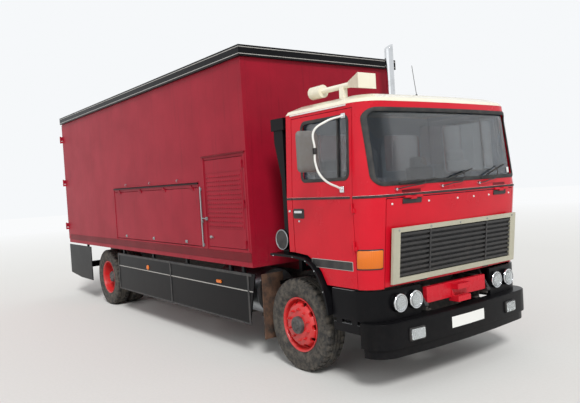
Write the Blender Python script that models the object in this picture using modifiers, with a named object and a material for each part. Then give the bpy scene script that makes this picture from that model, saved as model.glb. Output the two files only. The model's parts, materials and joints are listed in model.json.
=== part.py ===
"""A forward-control two-axle lorry with a showman's box body, at its real size.

Metres. +X is forward, +Y is the lorry's left, +Z is up and the ground is z = 0.
Places along the lorry are given from the front axle, through fore().
"""
import math

import bmesh
import bpy
from mathutils import Matrix, Vector

# Overall
FRONT_OVERHANG = 1.38
WHEELBASE = 5.79
REAR_OVERHANG = 1.93
LENGTH = FRONT_OVERHANG + WHEELBASE + REAR_OVERHANG
FRONT_AXLE = LENGTH / 2 - FRONT_OVERHANG
SEAT = 0.0003
RUNNING_FIT = 0.0001
PANEL_GAP = 0.006
SWING_GAP = 0.010
KNUCKLE_RADIUS = 0.009
KNUCKLE_OUT = 0.013
KNUCKLE_LENGTH = 0.045
KNUCKLE_SIDES = 6

# Tyres and wheels
TYRE_RADIUS = 0.505
TYRE_HALF_WIDTH = 0.127
BEAD_RADIUS = 0.2858
FLANGE_RADIUS = 0.2985
RIM_HALF_WIDTH = 0.105
FLANGE_THICKNESS = 0.010
FRONT_RIM_FACE = 1.12
REAR_RIM_FACE = 1.143
TWIN_HALF_SPACING = 0.155
DRUM_RADIUS = 0.200
WHEEL_STEPS = 20
AXLE_TUBE_RADIUS = 0.062
SPINDLE_RADIUS = 0.035

# Chassis frame
RAIL_HALF_WIDTH = 0.43
RAIL_BOTTOM = 0.70
RAIL_TOP = 0.95
RAIL_FLANGE = 0.07
RAIL_WALL = 0.010
RAIL_FRONT = 1.20
RAIL_REAR = -7.58
SPRING_Y = 0.395
SPRING_HALF_WIDTH = 0.035

# Steering
KINGPIN_Y = 0.83
KINGPIN_RADIUS = 0.028
KINGPIN_SIDES = 16
EYE_BOTTOM = 0.44
EYE_TOP = 0.56
EYE_RADIUS = 0.053
STEERING_ARM = 0.22
ARM_BOTTOM = 0.385
ARM_TOP = 0.415

# Engine, radiator and tanks
ENGINE_HALF_WIDTH = 0.30
ENGINE_BOTTOM = 0.62
ENGINE_TOP = 1.28
ENGINE_FRONT = 0.66
ENGINE_REAR = -0.62
GEARBOX_REAR = -1.28
RADIATOR_X = 0.91
RADIATOR_THICKNESS = 0.10
TANK_RADIUS = 0.28
TANK_Y = 0.87
TANK_Z = 0.75
TANK_FRONT = -0.75
TANK_REAR = -1.75

# Cab
CAB_HALF_WIDTH = 1.19
CAB_ROOF_HALF_WIDTH = 1.14
CAB_BOTTOM = 1.005
WAIST = 1.865
CAB_EAVES = 2.77
CAB_CROWN = 2.89
CAB_FRONT = 1.335
CAB_RAKE = 0.07
CAB_TUCK = 0.086
CAB_CORNER = 0.24
CAB_BOW = 0.04
CAB_WALL = 0.06
ROOF_WALL = 0.04
# Roof dome: height above the eaves, inset
ROOF_LEVELS = ((0.0, 0.0), (0.035, 0.02), (0.085, 0.13), (CAB_CROWN - CAB_EAVES, 0.42))
ARC_STEPS = 5

# Cab openings
DOOR_REAR = 0.10
DOOR_FRONT = 1.03
DOOR_TOP = 2.72
DOOR_BOTTOM = 1.012
DOOR_HINGES = (1.42, 1.78)
WINDOW_REAR = 0.27
WINDOW_FRONT = 0.98
WINDOW_BOTTOM = 2.06
WINDOW_TOP = 2.66
SCREEN_HALF_WIDTH = 1.095
SCREEN_BOTTOM = 1.99
SCREEN_TOP = 2.69
SCREEN_CORNER = 0.09
GLASS_INSET = 0.022
GLASS_THICKNESS = 0.006
BACK_WINDOW_INNER = 0.28
BACK_WINDOW_OUTER = 0.92
BACK_WINDOW_BOTTOM = 2.12
BACK_WINDOW_TOP = 2.56
TILT_X = 1.25
TILT_Z = 0.78
TILT_LUG_Y = 0.50
FLAP_HALF_WIDTH = 1.0
FLAP_BOTTOM = 1.012
FLAP_TOP = 1.855
FLAP_THICKNESS = 0.05
FLAP_HINGE_X = 1.337
FLAP_HINGE_Z = 1.855
FLAP_HINGES = ((-0.80, -0.556), (0.61, 0.846))
BULKHEAD_X = 1.15
SHELF_TOP = 1.325
WELL_TOP = 1.045
COLUMN_RADIUS = 0.03
COLUMN_LEAN = math.radians(20)
GRILLE_HALF_WIDTH = 0.97
GRILLE_LOW = 1.047
GRILLE_HIGH = 1.576
GRILLE_INNER = 0.88
GRILLE_INNER_LOW = 1.10
GRILLE_INNER_HIGH = 1.53
GRILLE_BACK = 0.0005
GRILLE_PROUD = 0.030
GRILLE_SLATS = 9

# Wheel arch of the front wheels: outer edge of the mudguard, from rear to front
ARCH = ((-0.305, 1.285), (0.08, 1.285), (0.30, 1.265), (0.42, 1.205), (0.50, 1.12),
        (0.565, 1.01), (0.61, 0.90), (0.638, 0.79), (0.645, 0.72))
ARCH_SKIN = 0.025
ARCH_INNER_Y = 0.80
ARCH_OUTER_Y = 1.24
ARCH_CLEAR = 0.027
FLAP_X = -0.64
MUDFLAP_BOTTOM = 0.24

# Box body
BOX_HALF_WIDTH = 1.25
BOX_WALL = 0.06
BOX_FRONT = -0.665
BOX_REAR = -(WHEELBASE + REAR_OVERHANG)
BOX_BOTTOM = 1.09
FLOOR_TOP = 1.15
DECK_THICKNESS = 0.008
DECK_GAP = 0.004
WALL_TOP = 3.60
ROOF_TOP = 3.67
TRIM_BOTTOM = 3.54
TRIM_PROUD = 0.04
LEAF_THICKNESS = 0.045
LEAF_GAP = 0.005
FRAME_DEPTH = 0.07
HINGE_OUT = 0.04
BARN_TOP = 3.53
SIDE_DOOR_FRONT = -0.76
SIDE_DOOR_REAR = -1.66
SIDE_DOOR_BOTTOM = 1.30
SIDE_DOOR_TOP = 2.40
LOCKER_FRONT = -1.88
LOCKER_REAR = -4.90
LOCKER_BOTTOM = 1.29
LOCKER_TOP = 2.06
SIDE_DOOR_HINGES = (1.36, 1.84, 2.31)
LOCKER_HINGES = (-2.05, -2.92, -3.79, -4.66)
BARN_HINGES = (1.45, 2.35, 3.25)
BARN_PIN_RADIUS = 0.013

# Skirts and bumper
SKIRT_BOTTOM = 0.40
SKIRT_TOP = 1.02
SKIRT_THICKNESS = 0.015
SKIRT_FRONT = -0.63
SKIRT_REAR = -4.95
REAR_SKIRT_FRONT = -6.38
BUMPER_HALF_WIDTH = 1.21
BUMPER_TOP = 0.70
BUMPER_LIP = 0.46
BUMPER_BOTTOM = 0.37
BUMPER_WALL = 0.03
BUMPER_END = 1.06
BUMPER_CORNER = 0.22
PANEL_FRONT = 1.225
PANEL_TOP = 0.992
PANEL_END = 0.66
LAMP_RADIUS = 0.09
LAMP_Z = 0.861
LAMP_Y = (0.653, 0.87)


def fore(distance):
    """X of a place this far in front of the front axle."""
    return FRONT_AXLE + distance


# Scene and materials

def clear_scene():
    for item in list(bpy.data.objects):
        bpy.data.objects.remove(item, do_unlink=True)
    for group in list(bpy.data.collections):
        bpy.data.collections.remove(group)


def new_collection(name):
    group = bpy.data.collections.new(name)
    bpy.context.scene.collection.children.link(group)
    return group


def linear(channel):
    if channel <= 0.04045:
        return channel / 12.92
    return ((channel + 0.055) / 1.055) ** 2.4


FINISHES = {
    # name: sRGB hex, roughness, metallic
    "cab_red": ("C8202F", 0.30, 0.0),
    "box_red": ("A61D2D", 0.38, 0.0),
    "wheel_red": ("D22A2A", 0.35, 0.0),
    "cream": ("E9E4D2", 0.35, 0.0),
    "black_paint": ("17171B", 0.35, 0.0),
    "chassis_black": ("232325", 0.60, 0.2),
    "grille_beige": ("BDB69E", 0.40, 0.2),
    "tyre_rubber": ("2A2A2B", 0.85, 0.0),
    "glass": ("5F6E74", 0.05, 0.0),
    "bright_steel": ("C9CBCC", 0.18, 1.0),
    "cast_iron": ("4A4846", 0.70, 0.6),
    "tank_aluminium": ("B9BDC2", 0.35, 1.0),
    "interior_blue": ("8FA8C4", 0.60, 0.0),
    "seat_fabric": ("2B2C33", 0.85, 0.0),
    "white_paint": ("ECECE8", 0.40, 0.0),
}


def material(name):
    found = bpy.data.materials.get(name)
    if found:
        return found
    colour, roughness, metallic = FINISHES[name]
    made = bpy.data.materials.new(name)
    made.use_nodes = True
    shader = made.node_tree.nodes["Principled BSDF"]
    rgb = [linear(int(colour[k:k + 2], 16) / 255) for k in (0, 2, 4)]
    shader.inputs["Base Color"].default_value = (*rgb, 1.0)
    shader.inputs["Roughness"].default_value = roughness
    shader.inputs["Metallic"].default_value = metallic
    return made


clear_scene()
PARTS = new_collection("showmans_lorry")
CUTTERS = new_collection("cutters")


# Modelling helpers

def add_object(name, mesh, finish=None):
    """Link a mesh as a part with its finish, or as a hidden tool without one."""
    item = bpy.data.objects.new(name, mesh)
    if finish:
        PARTS.objects.link(item)
        mesh.materials.clear()
        mesh.materials.append(material(finish))
    else:
        CUTTERS.objects.link(item)
        item.hide_render = True
        item.display_type = "WIRE"
    return item


def take_mesh(item, name):
    """The evaluated mesh of an object, in world space; the object itself goes."""
    bpy.context.view_layer.update()
    graph = bpy.context.evaluated_depsgraph_get()
    mesh = bpy.data.meshes.new_from_object(item.evaluated_get(graph))
    mesh.transform(item.matrix_world)
    bpy.data.objects.remove(item, do_unlink=True)
    mesh.name = name
    form = bmesh.new()
    form.from_mesh(mesh)
    bmesh.ops.remove_doubles(form, verts=form.verts, dist=0.00001)
    bmesh.ops.dissolve_limit(form, angle_limit=0.001, verts=form.verts, edges=form.edges)
    bmesh.ops.recalc_face_normals(form, faces=form.faces)
    form.to_mesh(mesh)
    form.free()
    return mesh


def block(name, low, high, finish=None):
    """A box from its lowest to its highest corner."""
    form = bmesh.new()
    size = [b - a for a, b in zip(low, high)]
    middle = [(a + b) / 2 for a, b in zip(low, high)]
    frame = Matrix.Translation(middle) @ Matrix.Diagonal((*size, 1.0))
    bmesh.ops.create_cube(form, size=1.0, matrix=frame)
    mesh = bpy.data.meshes.new(name)
    form.to_mesh(mesh)
    form.free()
    return add_object(name, mesh, finish)


def bar(name, start, end, radius, sides=12, finish=None):
    """A round bar between two points."""
    start, end = Vector(start), Vector(end)
    run = end - start
    turn = run.to_track_quat("Z", "Y").to_matrix().to_4x4()
    frame = Matrix.Translation((start + end) / 2) @ turn
    form = bmesh.new()
    bmesh.ops.create_cone(form, cap_ends=True, segments=sides, radius1=radius, radius2=radius,
                          depth=run.length, matrix=frame)
    mesh = bpy.data.meshes.new(name)
    form.to_mesh(mesh)
    form.free()
    return add_object(name, mesh, finish)


def pipe(name, points, radius, finish=None, rings=1):
    """A bent tube with closed ends through the points."""
    curve = bpy.data.curves.new(name, "CURVE")
    curve.dimensions = "3D"
    curve.bevel_depth = radius
    curve.bevel_resolution = rings
    curve.use_fill_caps = True
    spline = curve.splines.new("POLY")
    spline.points.add(len(points) - 1)
    for point, place in zip(spline.points, points):
        point.co = (*place, 1.0)
    item = bpy.data.objects.new(name, curve)
    CUTTERS.objects.link(item)
    return add_object(name, take_mesh(item, name), finish)


def plate(name, outline, low, high, along, finish=None):
    """A flat outline extruded between two places along X, Y or Z.

    The outline's two coordinates are (y, z), (x, z) or (x, y).
    """
    curve = bpy.data.curves.new(name, "CURVE")
    curve.dimensions = "2D"
    curve.fill_mode = "BOTH"
    curve.extrude = (high - low) / 2
    spline = curve.splines.new("POLY")
    spline.points.add(len(outline) - 1)
    spline.use_cyclic_u = True
    for point, place in zip(spline.points, outline):
        point.co = (place[0], place[1], 0.0, 1.0)
    item = bpy.data.objects.new(name, curve)
    CUTTERS.objects.link(item)
    middle = (low + high) / 2
    turns = {
        "X": ((0, 0, 1, middle), (1, 0, 0, 0), (0, 1, 0, 0), (0, 0, 0, 1)),
        "Y": ((1, 0, 0, 0), (0, 0, -1, middle), (0, 1, 0, 0), (0, 0, 0, 1)),
        "Z": ((1, 0, 0, 0), (0, 1, 0, 0), (0, 0, 1, middle), (0, 0, 0, 1)),
    }
    item.matrix_world = Matrix(turns[along])
    return add_object(name, take_mesh(item, name), finish)


def turned(name, profile, centre, outboard, steps, finish, closed=False):
    """A profile of (radius, height) turned about a cross axis; height runs outboard."""
    mesh = bpy.data.meshes.new(name)
    form = bmesh.new()
    points = [form.verts.new((radius, 0.0, height)) for radius, height in profile]
    for first, second in zip(points, points[1:]):
        form.edges.new((first, second))
    if closed:
        form.edges.new((points[-1], points[0]))
    form.to_mesh(mesh)
    form.free()
    item = add_object(name, mesh, finish)
    screw = item.modifiers.new("turn", "SCREW")
    screw.steps = steps
    screw.render_steps = steps
    screw.use_merge_vertices = True
    screw.merge_threshold = 0.00001
    item.location = centre
    item.rotation_euler = (-outboard * math.pi / 2, 0.0, 0.0)
    return item


def loft(name, sections, finish=None):
    """Rings of points with equal counts, joined in order and closed at both ends."""
    form = bmesh.new()
    rings = [[form.verts.new(point) for point in section] for section in sections]
    count = len(rings[0])
    for lower, upper in zip(rings, rings[1:]):
        for k in range(count):
            after = (k + 1) % count
            form.faces.new((lower[k], lower[after], upper[after], upper[k]))
    form.faces.new(list(reversed(rings[0])))
    form.faces.new(rings[-1])
    bmesh.ops.recalc_face_normals(form, faces=form.faces)
    mesh = bpy.data.meshes.new(name)
    form.to_mesh(mesh)
    form.free()
    return add_object(name, mesh, finish)


def combine(item, tool, operation):
    """Add a live Boolean with one tool and give the item back."""
    step = item.modifiers.new(operation.lower(), "BOOLEAN")
    step.operation = operation
    step.object = tool
    return item


def join(item, *tools):
    for tool in tools:
        combine(item, tool, "UNION")
    return item


def cut(item, *tools):
    for tool in tools:
        combine(item, tool, "DIFFERENCE")
    return item


def keep(item, tool):
    return combine(item, tool, "INTERSECT")


def rounded(low, high, radius, steps=3):
    """A rectangle's outline with rounded corners, as (u, v) points."""
    corners = (
        # centre u, centre v, start angle
        (high[0] - radius, low[1] + radius, -90),
        (high[0] - radius, high[1] - radius, 0),
        (low[0] + radius, high[1] - radius, 90),
        (low[0] + radius, low[1] + radius, 180),
    )
    points = []
    for u, v, start in corners:
        for k in range(steps + 1):
            angle = math.radians(start + 90 * k / steps)
            points.append((u + radius * math.cos(angle), v + radius * math.sin(angle)))
    return points


def bore_for(shaft, steps=WHEEL_STEPS):
    """Radius of a many-sided bore whose flats just clear a shaft of this radius."""
    return shaft / math.cos(math.pi / steps) + RUNNING_FIT


def sides():
    """The two sides of the lorry: name and sign of y."""
    return (("right", -1), ("left", 1))


def span(side, inner, outer):
    """Low and high y of a piece that reaches from inner to outer on one side."""
    ends = sorted((side * inner, side * outer))
    return ends[0], ends[1]


def side_block(name, side, x, y, z, finish=None):
    """A block from (low, high) pairs, with y given as distance from the middle."""
    low_y, high_y = span(side, *y)
    return block(name, (fore(x[0]), low_y, z[0]), (fore(x[1]), high_y, z[1]), finish)


def side_plate(name, outline, side, inner, outer, finish=None):
    """An outline in (distance ahead of the axle, z) extruded across one side."""
    low, high = span(side, inner, outer)
    return plate(name, [(fore(x), z) for x, z in outline], low, high, "Y", finish)


def upright_hinge(fixed, leaf, side, axis_x, face, heights):
    """Paired knuckles on an upright axis at the front edge of a side leaf."""
    y = side * (face + KNUCKLE_OUT)
    for number, z in enumerate(heights):
        for item, run, edge in ((fixed, (-KNUCKLE_LENGTH, -SEAT), (0.0015, 0.028)),
                                (leaf, (0.0, KNUCKLE_LENGTH), (-0.028, -0.0015))):
            name = f"{item.name}_knuckle_{number}"
            low, high = z + run[0], z + run[1]
            tab = side_block(f"{name}_tab", side, (axis_x + edge[0], axis_x + edge[1]),
                             (face - 0.02, face + KNUCKLE_OUT - 0.003), (low, high))
            join(item, tab, bar(name, (fore(axis_x), y, low), (fore(axis_x), y, high),
                                KNUCKLE_RADIUS, KNUCKLE_SIDES))


def level_hinge(fixed, leaf, axis_z, places):
    """Paired knuckles on a level axis along the top edge of a flap in the right wall."""
    y = -(BOX_HALF_WIDTH + KNUCKLE_OUT)
    for number, x in enumerate(places):
        for item, run, edge in ((fixed, (-KNUCKLE_LENGTH, -SEAT), (0.0015, 0.035)),
                                (leaf, (0.0, KNUCKLE_LENGTH), (-0.035, -0.0015))):
            name = f"{item.name}_roller_{number}"
            low, high = x + run[0], x + run[1]
            tab = side_block(f"{name}_tab", -1, (low, high),
                             (BOX_HALF_WIDTH - 0.02, BOX_HALF_WIDTH + KNUCKLE_OUT - 0.003),
                             (axis_z + edge[0], axis_z + edge[1]))
            join(item, tab, bar(name, (fore(low), y, axis_z), (fore(high), y, axis_z),
                                KNUCKLE_RADIUS, KNUCKLE_SIDES))


# Chassis

def cradle_outline():
    """A drop cross-member: it hangs between the rails and carries the engine from below."""
    web = RAIL_HALF_WIDTH - RAIL_WALL / 2
    hip = ENGINE_HALF_WIDTH + 0.045
    top, shoulder = RAIL_TOP - 0.05, RAIL_BOTTOM + 0.06
    floor = ENGINE_BOTTOM - SEAT
    inner = ENGINE_HALF_WIDTH + 0.005
    half = [(web, top), (web, shoulder), (hip, shoulder), (hip, floor - 0.055)]
    inside = [(inner, floor), (inner, top)]
    mirrored = [(-y, z) for y, z in reversed(half)]
    mirrored_inside = [(-y, z) for y, z in reversed(inside)]
    return half + mirrored + mirrored_inside + inside


def chassis_frame():
    wide, lip = RAIL_HALF_WIDTH, RAIL_HALF_WIDTH - RAIL_FLANGE
    web = RAIL_HALF_WIDTH - RAIL_WALL
    rail = [(wide, RAIL_BOTTOM), (lip, RAIL_BOTTOM), (lip, RAIL_BOTTOM + RAIL_WALL),
            (web, RAIL_BOTTOM + RAIL_WALL), (web, RAIL_TOP - RAIL_WALL),
            (lip, RAIL_TOP - RAIL_WALL), (lip, RAIL_TOP), (wide, RAIL_TOP)]
    ends = fore(RAIL_REAR), fore(RAIL_FRONT)
    frame = plate("chassis_frame", rail, *ends, "X", "chassis_black")
    tools = [plate("rail_right", [(-y, z) for y, z in rail], *ends, "X")]
    reach = RAIL_HALF_WIDTH - RAIL_WALL / 2
    for number, x in enumerate((1.08, -1.40, -2.60, -3.90, -4.95, -6.60, -7.50)):
        tools.append(block(f"crossmember_{number}", (fore(x) - 0.03, -reach, 0.74),
                           (fore(x) + 0.03, reach, 0.91)))
    for number, x in enumerate((RADIATOR_X, 0.46, -0.50)):
        tools.append(plate(f"cradle_{number}", cradle_outline(), fore(x) - 0.04,
                           fore(x) + 0.04, "X"))
    for word, side in sides():
        inner, outer = TILT_LUG_Y - SEAT - 0.022, TILT_LUG_Y - SEAT
        tools.append(side_block(f"tilt_arm_{word}", side, (1.13, 1.17), (reach, outer),
                                (0.735, 0.785)))
        tools.append(side_block(f"tilt_nose_{word}", side, (1.14, TILT_X + 0.01),
                                (inner, outer - 0.001), (0.74, 0.79)))
        tools.append(bar(f"tilt_boss_{word}", (fore(TILT_X), side * inner, TILT_Z),
                         (fore(TILT_X), side * outer, TILT_Z), 0.024, 10))
        for number, (x, low) in enumerate(((0.62, 0.60), (-0.62, 0.60),
                                           (-WHEELBASE + 0.70, 0.66),
                                           (-WHEELBASE - 0.70, 0.66))):
            tools.append(side_block(f"hanger_{word}_{number}", side, (x - 0.045, x + 0.045),
                                    (lip, wide), (low, RAIL_BOTTOM + RAIL_WALL / 2)))
        for number, x in enumerate((TANK_FRONT - 0.20, TANK_REAR + 0.45)):
            leg, foot = TANK_Y - TANK_RADIUS - 0.08, TANK_Z - TANK_RADIUS - SEAT
            bracket = [(reach, 0.90), (leg, 0.90), (leg, foot), (TANK_Y + 0.08, foot),
                       (TANK_Y + 0.08, foot - 0.04), (reach, foot - 0.04)]
            outline = [(side * y, z) for y, z in bracket]
            tools.append(plate(f"tank_bracket_{word}_{number}", outline, fore(x) - 0.03,
                               fore(x) + 0.03, "X"))
    return join(frame, *tools)


def spring_outline(middle, reach, bottom, eye_top, thickness):
    """A leaf spring's side view: a shallow bow, thick at the axle and thin at the eyes."""
    lower, upper = [], []
    steps = 6
    for k in range(steps + 1):
        t = 2 * k / steps - 1
        thin = thickness * (1 - 0.65 * abs(t))
        rise = (eye_top - thickness * 0.35 - bottom) * t * t
        lower.append((middle + reach * t, bottom + rise))
        upper.append((middle + reach * t, bottom + rise + thin))
    return lower + list(reversed(upper))


def front_axle():
    half = [(0.52, 0.345), (0.70, 0.435), (KINGPIN_Y, EYE_BOTTOM), (KINGPIN_Y, EYE_TOP),
            (0.74, EYE_TOP), (0.56, 0.455)]
    outline = half + [(-y, z) for y, z in reversed(half)]
    beam = plate("front_axle", outline, fore(-0.045), fore(0.045), "X", "chassis_black")
    for word, side in sides():
        spring = spring_outline(0.0, 0.66, 0.425, 0.60 - SEAT, 0.09)
        join(beam, side_plate(f"front_spring_{word}", spring, side,
                              SPRING_Y - SPRING_HALF_WIDTH, SPRING_Y + SPRING_HALF_WIDTH))
    for word, side in sides():
        y = side * KINGPIN_Y
        join(beam, bar(f"axle_eye_{word}", (fore(0), y, EYE_BOTTOM), (fore(0), y, EYE_TOP),
                       EYE_RADIUS, KINGPIN_SIDES))
        cut(beam, bar(f"kingpin_bore_{word}", (fore(0), y, 0.40), (fore(0), y, 0.60),
                      bore_for(KINGPIN_RADIUS, KINGPIN_SIDES), KINGPIN_SIDES))
    return beam


def rear_axle():
    """Casing, banjo, leaf springs and the propeller shaft up to the gearbox."""
    x = fore(-WHEELBASE)
    tip = REAR_RIM_FACE - TWIN_HALF_SPACING - RIM_HALF_WIDTH + 0.09
    casing = bar("rear_axle", (x, -tip, TYRE_RADIUS), (x, tip, TYRE_RADIUS),
                 AXLE_TUBE_RADIUS, WHEEL_STEPS, "chassis_black")
    banjo = bar("banjo", (x, -0.10, TYRE_RADIUS), (x, 0.10, TYRE_RADIUS), 0.19, 20)
    pinion = TYRE_RADIUS + 0.03
    nose = bar("nose", (x + 0.05, 0, pinion), (x + 0.34, 0, pinion), 0.085, 12)
    gearbox_end = (fore(GEARBOX_REAR) - SEAT - 0.0018, 0, 0.675)
    shaft = bar("shaft", (x + 0.30, 0, pinion), gearbox_end, 0.045, 12)
    join(casing, banjo, nose, shaft)
    for word, side in sides():
        spring = spring_outline(-WHEELBASE, 0.74, 0.545, 0.66 - SEAT, 0.10)
        join(casing, side_plate(f"rear_spring_{word}", spring, side,
                                SPRING_Y - SPRING_HALF_WIDTH, SPRING_Y + SPRING_HALF_WIDTH))
    return casing


def engine_block():
    outline = [(ENGINE_FRONT, ENGINE_BOTTOM), (ENGINE_FRONT, ENGINE_TOP),
               (ENGINE_REAR, ENGINE_TOP), (ENGINE_REAR, 0.93), (GEARBOX_REAR, 0.88),
               (GEARBOX_REAR, ENGINE_BOTTOM)]
    points = [(fore(x), z) for x, z in outline]
    return plate("engine_block", points, -ENGINE_HALF_WIDTH, ENGINE_HALF_WIDTH, "Y",
                 "cast_iron")


def radiator():
    narrow, wide = ENGINE_HALF_WIDTH, RAIL_HALF_WIDTH - 0.01
    step, top = RAIL_TOP + SEAT, ENGINE_TOP - 0.02
    outline = [(-narrow, ENGINE_BOTTOM), (narrow, ENGINE_BOTTOM), (narrow, step),
               (wide, step), (wide, top), (-wide, top), (-wide, step), (-narrow, step)]
    half = RADIATOR_THICKNESS / 2
    return plate("radiator", outline, fore(RADIATOR_X - half), fore(RADIATOR_X + half), "X",
                 "chassis_black")


def fuel_tank():
    start = (fore(TANK_FRONT), -TANK_Y, TANK_Z)
    end = (fore(TANK_REAR), -TANK_Y, TANK_Z)
    return bar("fuel_tank", start, end, TANK_RADIUS, 24, "tank_aluminium")


def battery_box():
    return side_block("battery_box", 1, (TANK_FRONT - 0.60, TANK_FRONT),
                      (TANK_Y - TANK_RADIUS - 0.08 + SEAT, TANK_Y + 0.10),
                      (TANK_Z - TANK_RADIUS, 0.97), "chassis_black")


# Front end

def plan_band(half_width, front, end, radius, bow, wall):
    """A bowed band seen from above, open to the rear, as an outline of (x, y)."""
    def edge(inset):
        corner = radius - inset
        centre_x = front - bow - radius
        centre_y = half_width - radius
        points = [(end, -(half_width - inset))]
        for k in range(ARC_STEPS + 1):
            angle = math.radians(90 * k / ARC_STEPS)
            points.append((centre_x + corner * math.sin(angle),
                           -(centre_y + corner * math.cos(angle))))
        for share in (-0.5, 0.0):
            points.append((front - inset - bow * share * share, share * centre_y))
        return points + [(x, -y) for x, y in reversed(points[:-1])]
    return [(fore(x), y) for x, y in edge(0.0) + list(reversed(edge(wall)))]


def front_bumper():
    band = plan_band(BUMPER_HALF_WIDTH, FRONT_OVERHANG, BUMPER_END, BUMPER_CORNER, 0.05,
                     BUMPER_WALL)
    bumper = plate("front_bumper", band, BUMPER_LIP, BUMPER_TOP - 0.005, "Z", "black_paint")
    shelf = plan_band(BUMPER_HALF_WIDTH - 0.005, FRONT_OVERHANG - 0.005, BUMPER_END + 0.005,
                      BUMPER_CORNER, 0.05, 0.145)
    lip = plan_band(BUMPER_HALF_WIDTH - 0.02, FRONT_OVERHANG - 0.02, BUMPER_END + 0.02,
                    BUMPER_CORNER, 0.05, BUMPER_WALL)
    join(bumper, plate("bumper_shelf", shelf, BUMPER_TOP - 0.02, BUMPER_TOP, "Z"),
         plate("bumper_lip", lip, BUMPER_BOTTOM, BUMPER_LIP + 0.01, "Z"))
    for word, side in sides():
        join(bumper, side_block(f"bumper_bracket_{word}", side,
                                (RAIL_FRONT - 0.18, FRONT_OVERHANG - 0.04),
                                (RAIL_HALF_WIDTH - RAIL_FLANGE, RAIL_HALF_WIDTH),
                                (0.56, RAIL_BOTTOM - SEAT)))
    return bumper


def corner_panel(word, side):
    """The black panel under one cab corner, with its step and its two lamps."""
    band = plan_band(CAB_HALF_WIDTH, PANEL_FRONT + CAB_BOW, PANEL_END, CAB_CORNER, CAB_BOW,
                     0.03)
    panel = plate(f"corner_panel_{word}", band, BUMPER_TOP + SEAT, PANEL_TOP, "Z",
                  "black_paint")
    half = side_block(f"corner_side_{word}", side, (PANEL_END - 0.1, 2.0), (0.56, 1.4),
                      (0.5, 1.2))
    keep(panel, half)
    step = side_block(f"step_{word}", side, (0.66, 1.03), (1.06, 1.185), (0.575, 0.66))
    hanger = side_block(f"step_hanger_{word}", side, (0.70, 0.78), (1.155, 1.183),
                        (0.65, 0.80))
    hanger_b = side_block(f"step_hanger_b_{word}", side, (0.92, 1.00), (1.155, 1.183),
                          (0.65, 0.80))
    join(panel, step, hanger, hanger_b)
    for number, y in enumerate(LAMP_Y):
        place = side * y
        join(panel, bar(f"lamp_{word}_{number}", (fore(PANEL_FRONT - 0.02), place, LAMP_Z),
                        (fore(PANEL_FRONT + 0.045), place, LAMP_Z), LAMP_RADIUS, 16))
    return panel


def tow_bracket():
    start = fore(RAIL_FRONT) + SEAT
    bracket = block("tow_bracket", (start, -0.47, 0.79), (start + 0.05, 0.47, 0.945),
                    "cab_red")
    jaw = block("tow_jaw", (start + 0.02, -0.10, 0.75), (fore(1.34), 0.10, 0.93))
    slot = block("tow_slot", (start + 0.06, -0.2, 0.805), (fore(1.40), 0.2, 0.875))
    join(bracket, jaw)
    return cut(bracket, slot)


def mudguard(word, side):
    """Front arch, its stay and the flap behind the wheel, in one piece."""
    outer = list(ARCH)
    inner = []
    for k, (x, z) in enumerate(ARCH):
        ahead = ARCH[min(k + 1, len(ARCH) - 1)]
        behind = ARCH[max(k - 1, 0)]
        run = Vector((ahead[0] - behind[0], ahead[1] - behind[1])).normalized()
        inner.append((x + run[1] * ARCH_SKIN, z - run[0] * ARCH_SKIN))
    guard = side_plate(f"mudguard_{word}", outer + list(reversed(inner)), side,
                       ARCH_INNER_Y, ARCH_OUTER_Y, "black_paint")
    outline = [(0.86, 1.265), (0.86, 1.04), (0.50, 1.04), (0.50, 0.80),
               (RAIL_HALF_WIDTH + SEAT, 0.80), (RAIL_HALF_WIDTH + SEAT, 1.09), (0.80, 1.09),
               (0.80, 1.265)]
    stay = plate(f"guard_stay_{word}", [(side * y, z) for y, z in outline], fore(-0.29),
                 fore(-0.23), "X")
    link = side_block(f"flap_link_{word}", side, (FLAP_X - 0.02, -0.25),
                      (RAIL_HALF_WIDTH + SEAT, 0.49), (0.85, 0.90))
    arm = side_block(f"flap_arm_{word}", side, (FLAP_X - 0.02, FLAP_X + 0.02),
                     (RAIL_HALF_WIDTH + 0.002, 0.90), (0.852, 0.898))
    flap = side_block(f"mudflap_{word}", side, (FLAP_X - 0.005, FLAP_X + 0.005),
                      (0.85, 1.15), (MUDFLAP_BOTTOM, 1.0))
    return join(guard, stay, link, arm, flap)


def air_intake():
    """Air cleaner drum, its duct and the raised inlet behind the cab."""
    x, z = fore(-0.19), 1.43
    drum = bar("air_intake", (x, -0.72, z), (x, -1.15, z), 0.115, 20, "black_paint")
    foot = block("intake_foot", (x - 0.05, -1.10, 1.285 + SEAT), (x + 0.05, -0.82, 1.36))
    duct = [(-0.14, 1.50), (-0.075, 1.50), (-0.075, 2.64), (-0.24, 2.64), (-0.24, 2.50),
            (-0.14, 2.09)]
    stem = plate("intake_stem", [(fore(a), b) for a, b in duct], -1.14, -0.96, "Y")
    cap = block("intake_cap", (fore(-0.26), -1.16, 2.63), (fore(-0.03), -0.93, 2.76))
    return join(drum, foot, stem, cap)


def exhaust_stack():
    x, y = fore(-0.40), 0.93
    stack = bar("exhaust_stack", (x, y, 1.06), (x, y, 3.82), 0.057, 16, "bright_steel")
    silencer = bar("silencer", (x, y, 1.20), (x, y, 2.25), 0.08, 16)
    root = RAIL_HALF_WIDTH + SEAT
    bracket = [(root, 0.91), (root + 0.06, 0.91), (root + 0.06, 1.08), (y, 1.08), (y, 1.14),
               (root, 1.14)]
    join(stack, silencer, plate("stack_arm", bracket, x - 0.03, x + 0.03, "X"))
    slope = [(y - 0.2, 3.64), (y + 0.2, 3.92), (y + 0.2, 4.2), (y - 0.2, 4.2)]
    return cut(stack, plate("stack_mitre", slope, x - 0.2, x + 0.2, "X"))


# Box body

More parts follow.
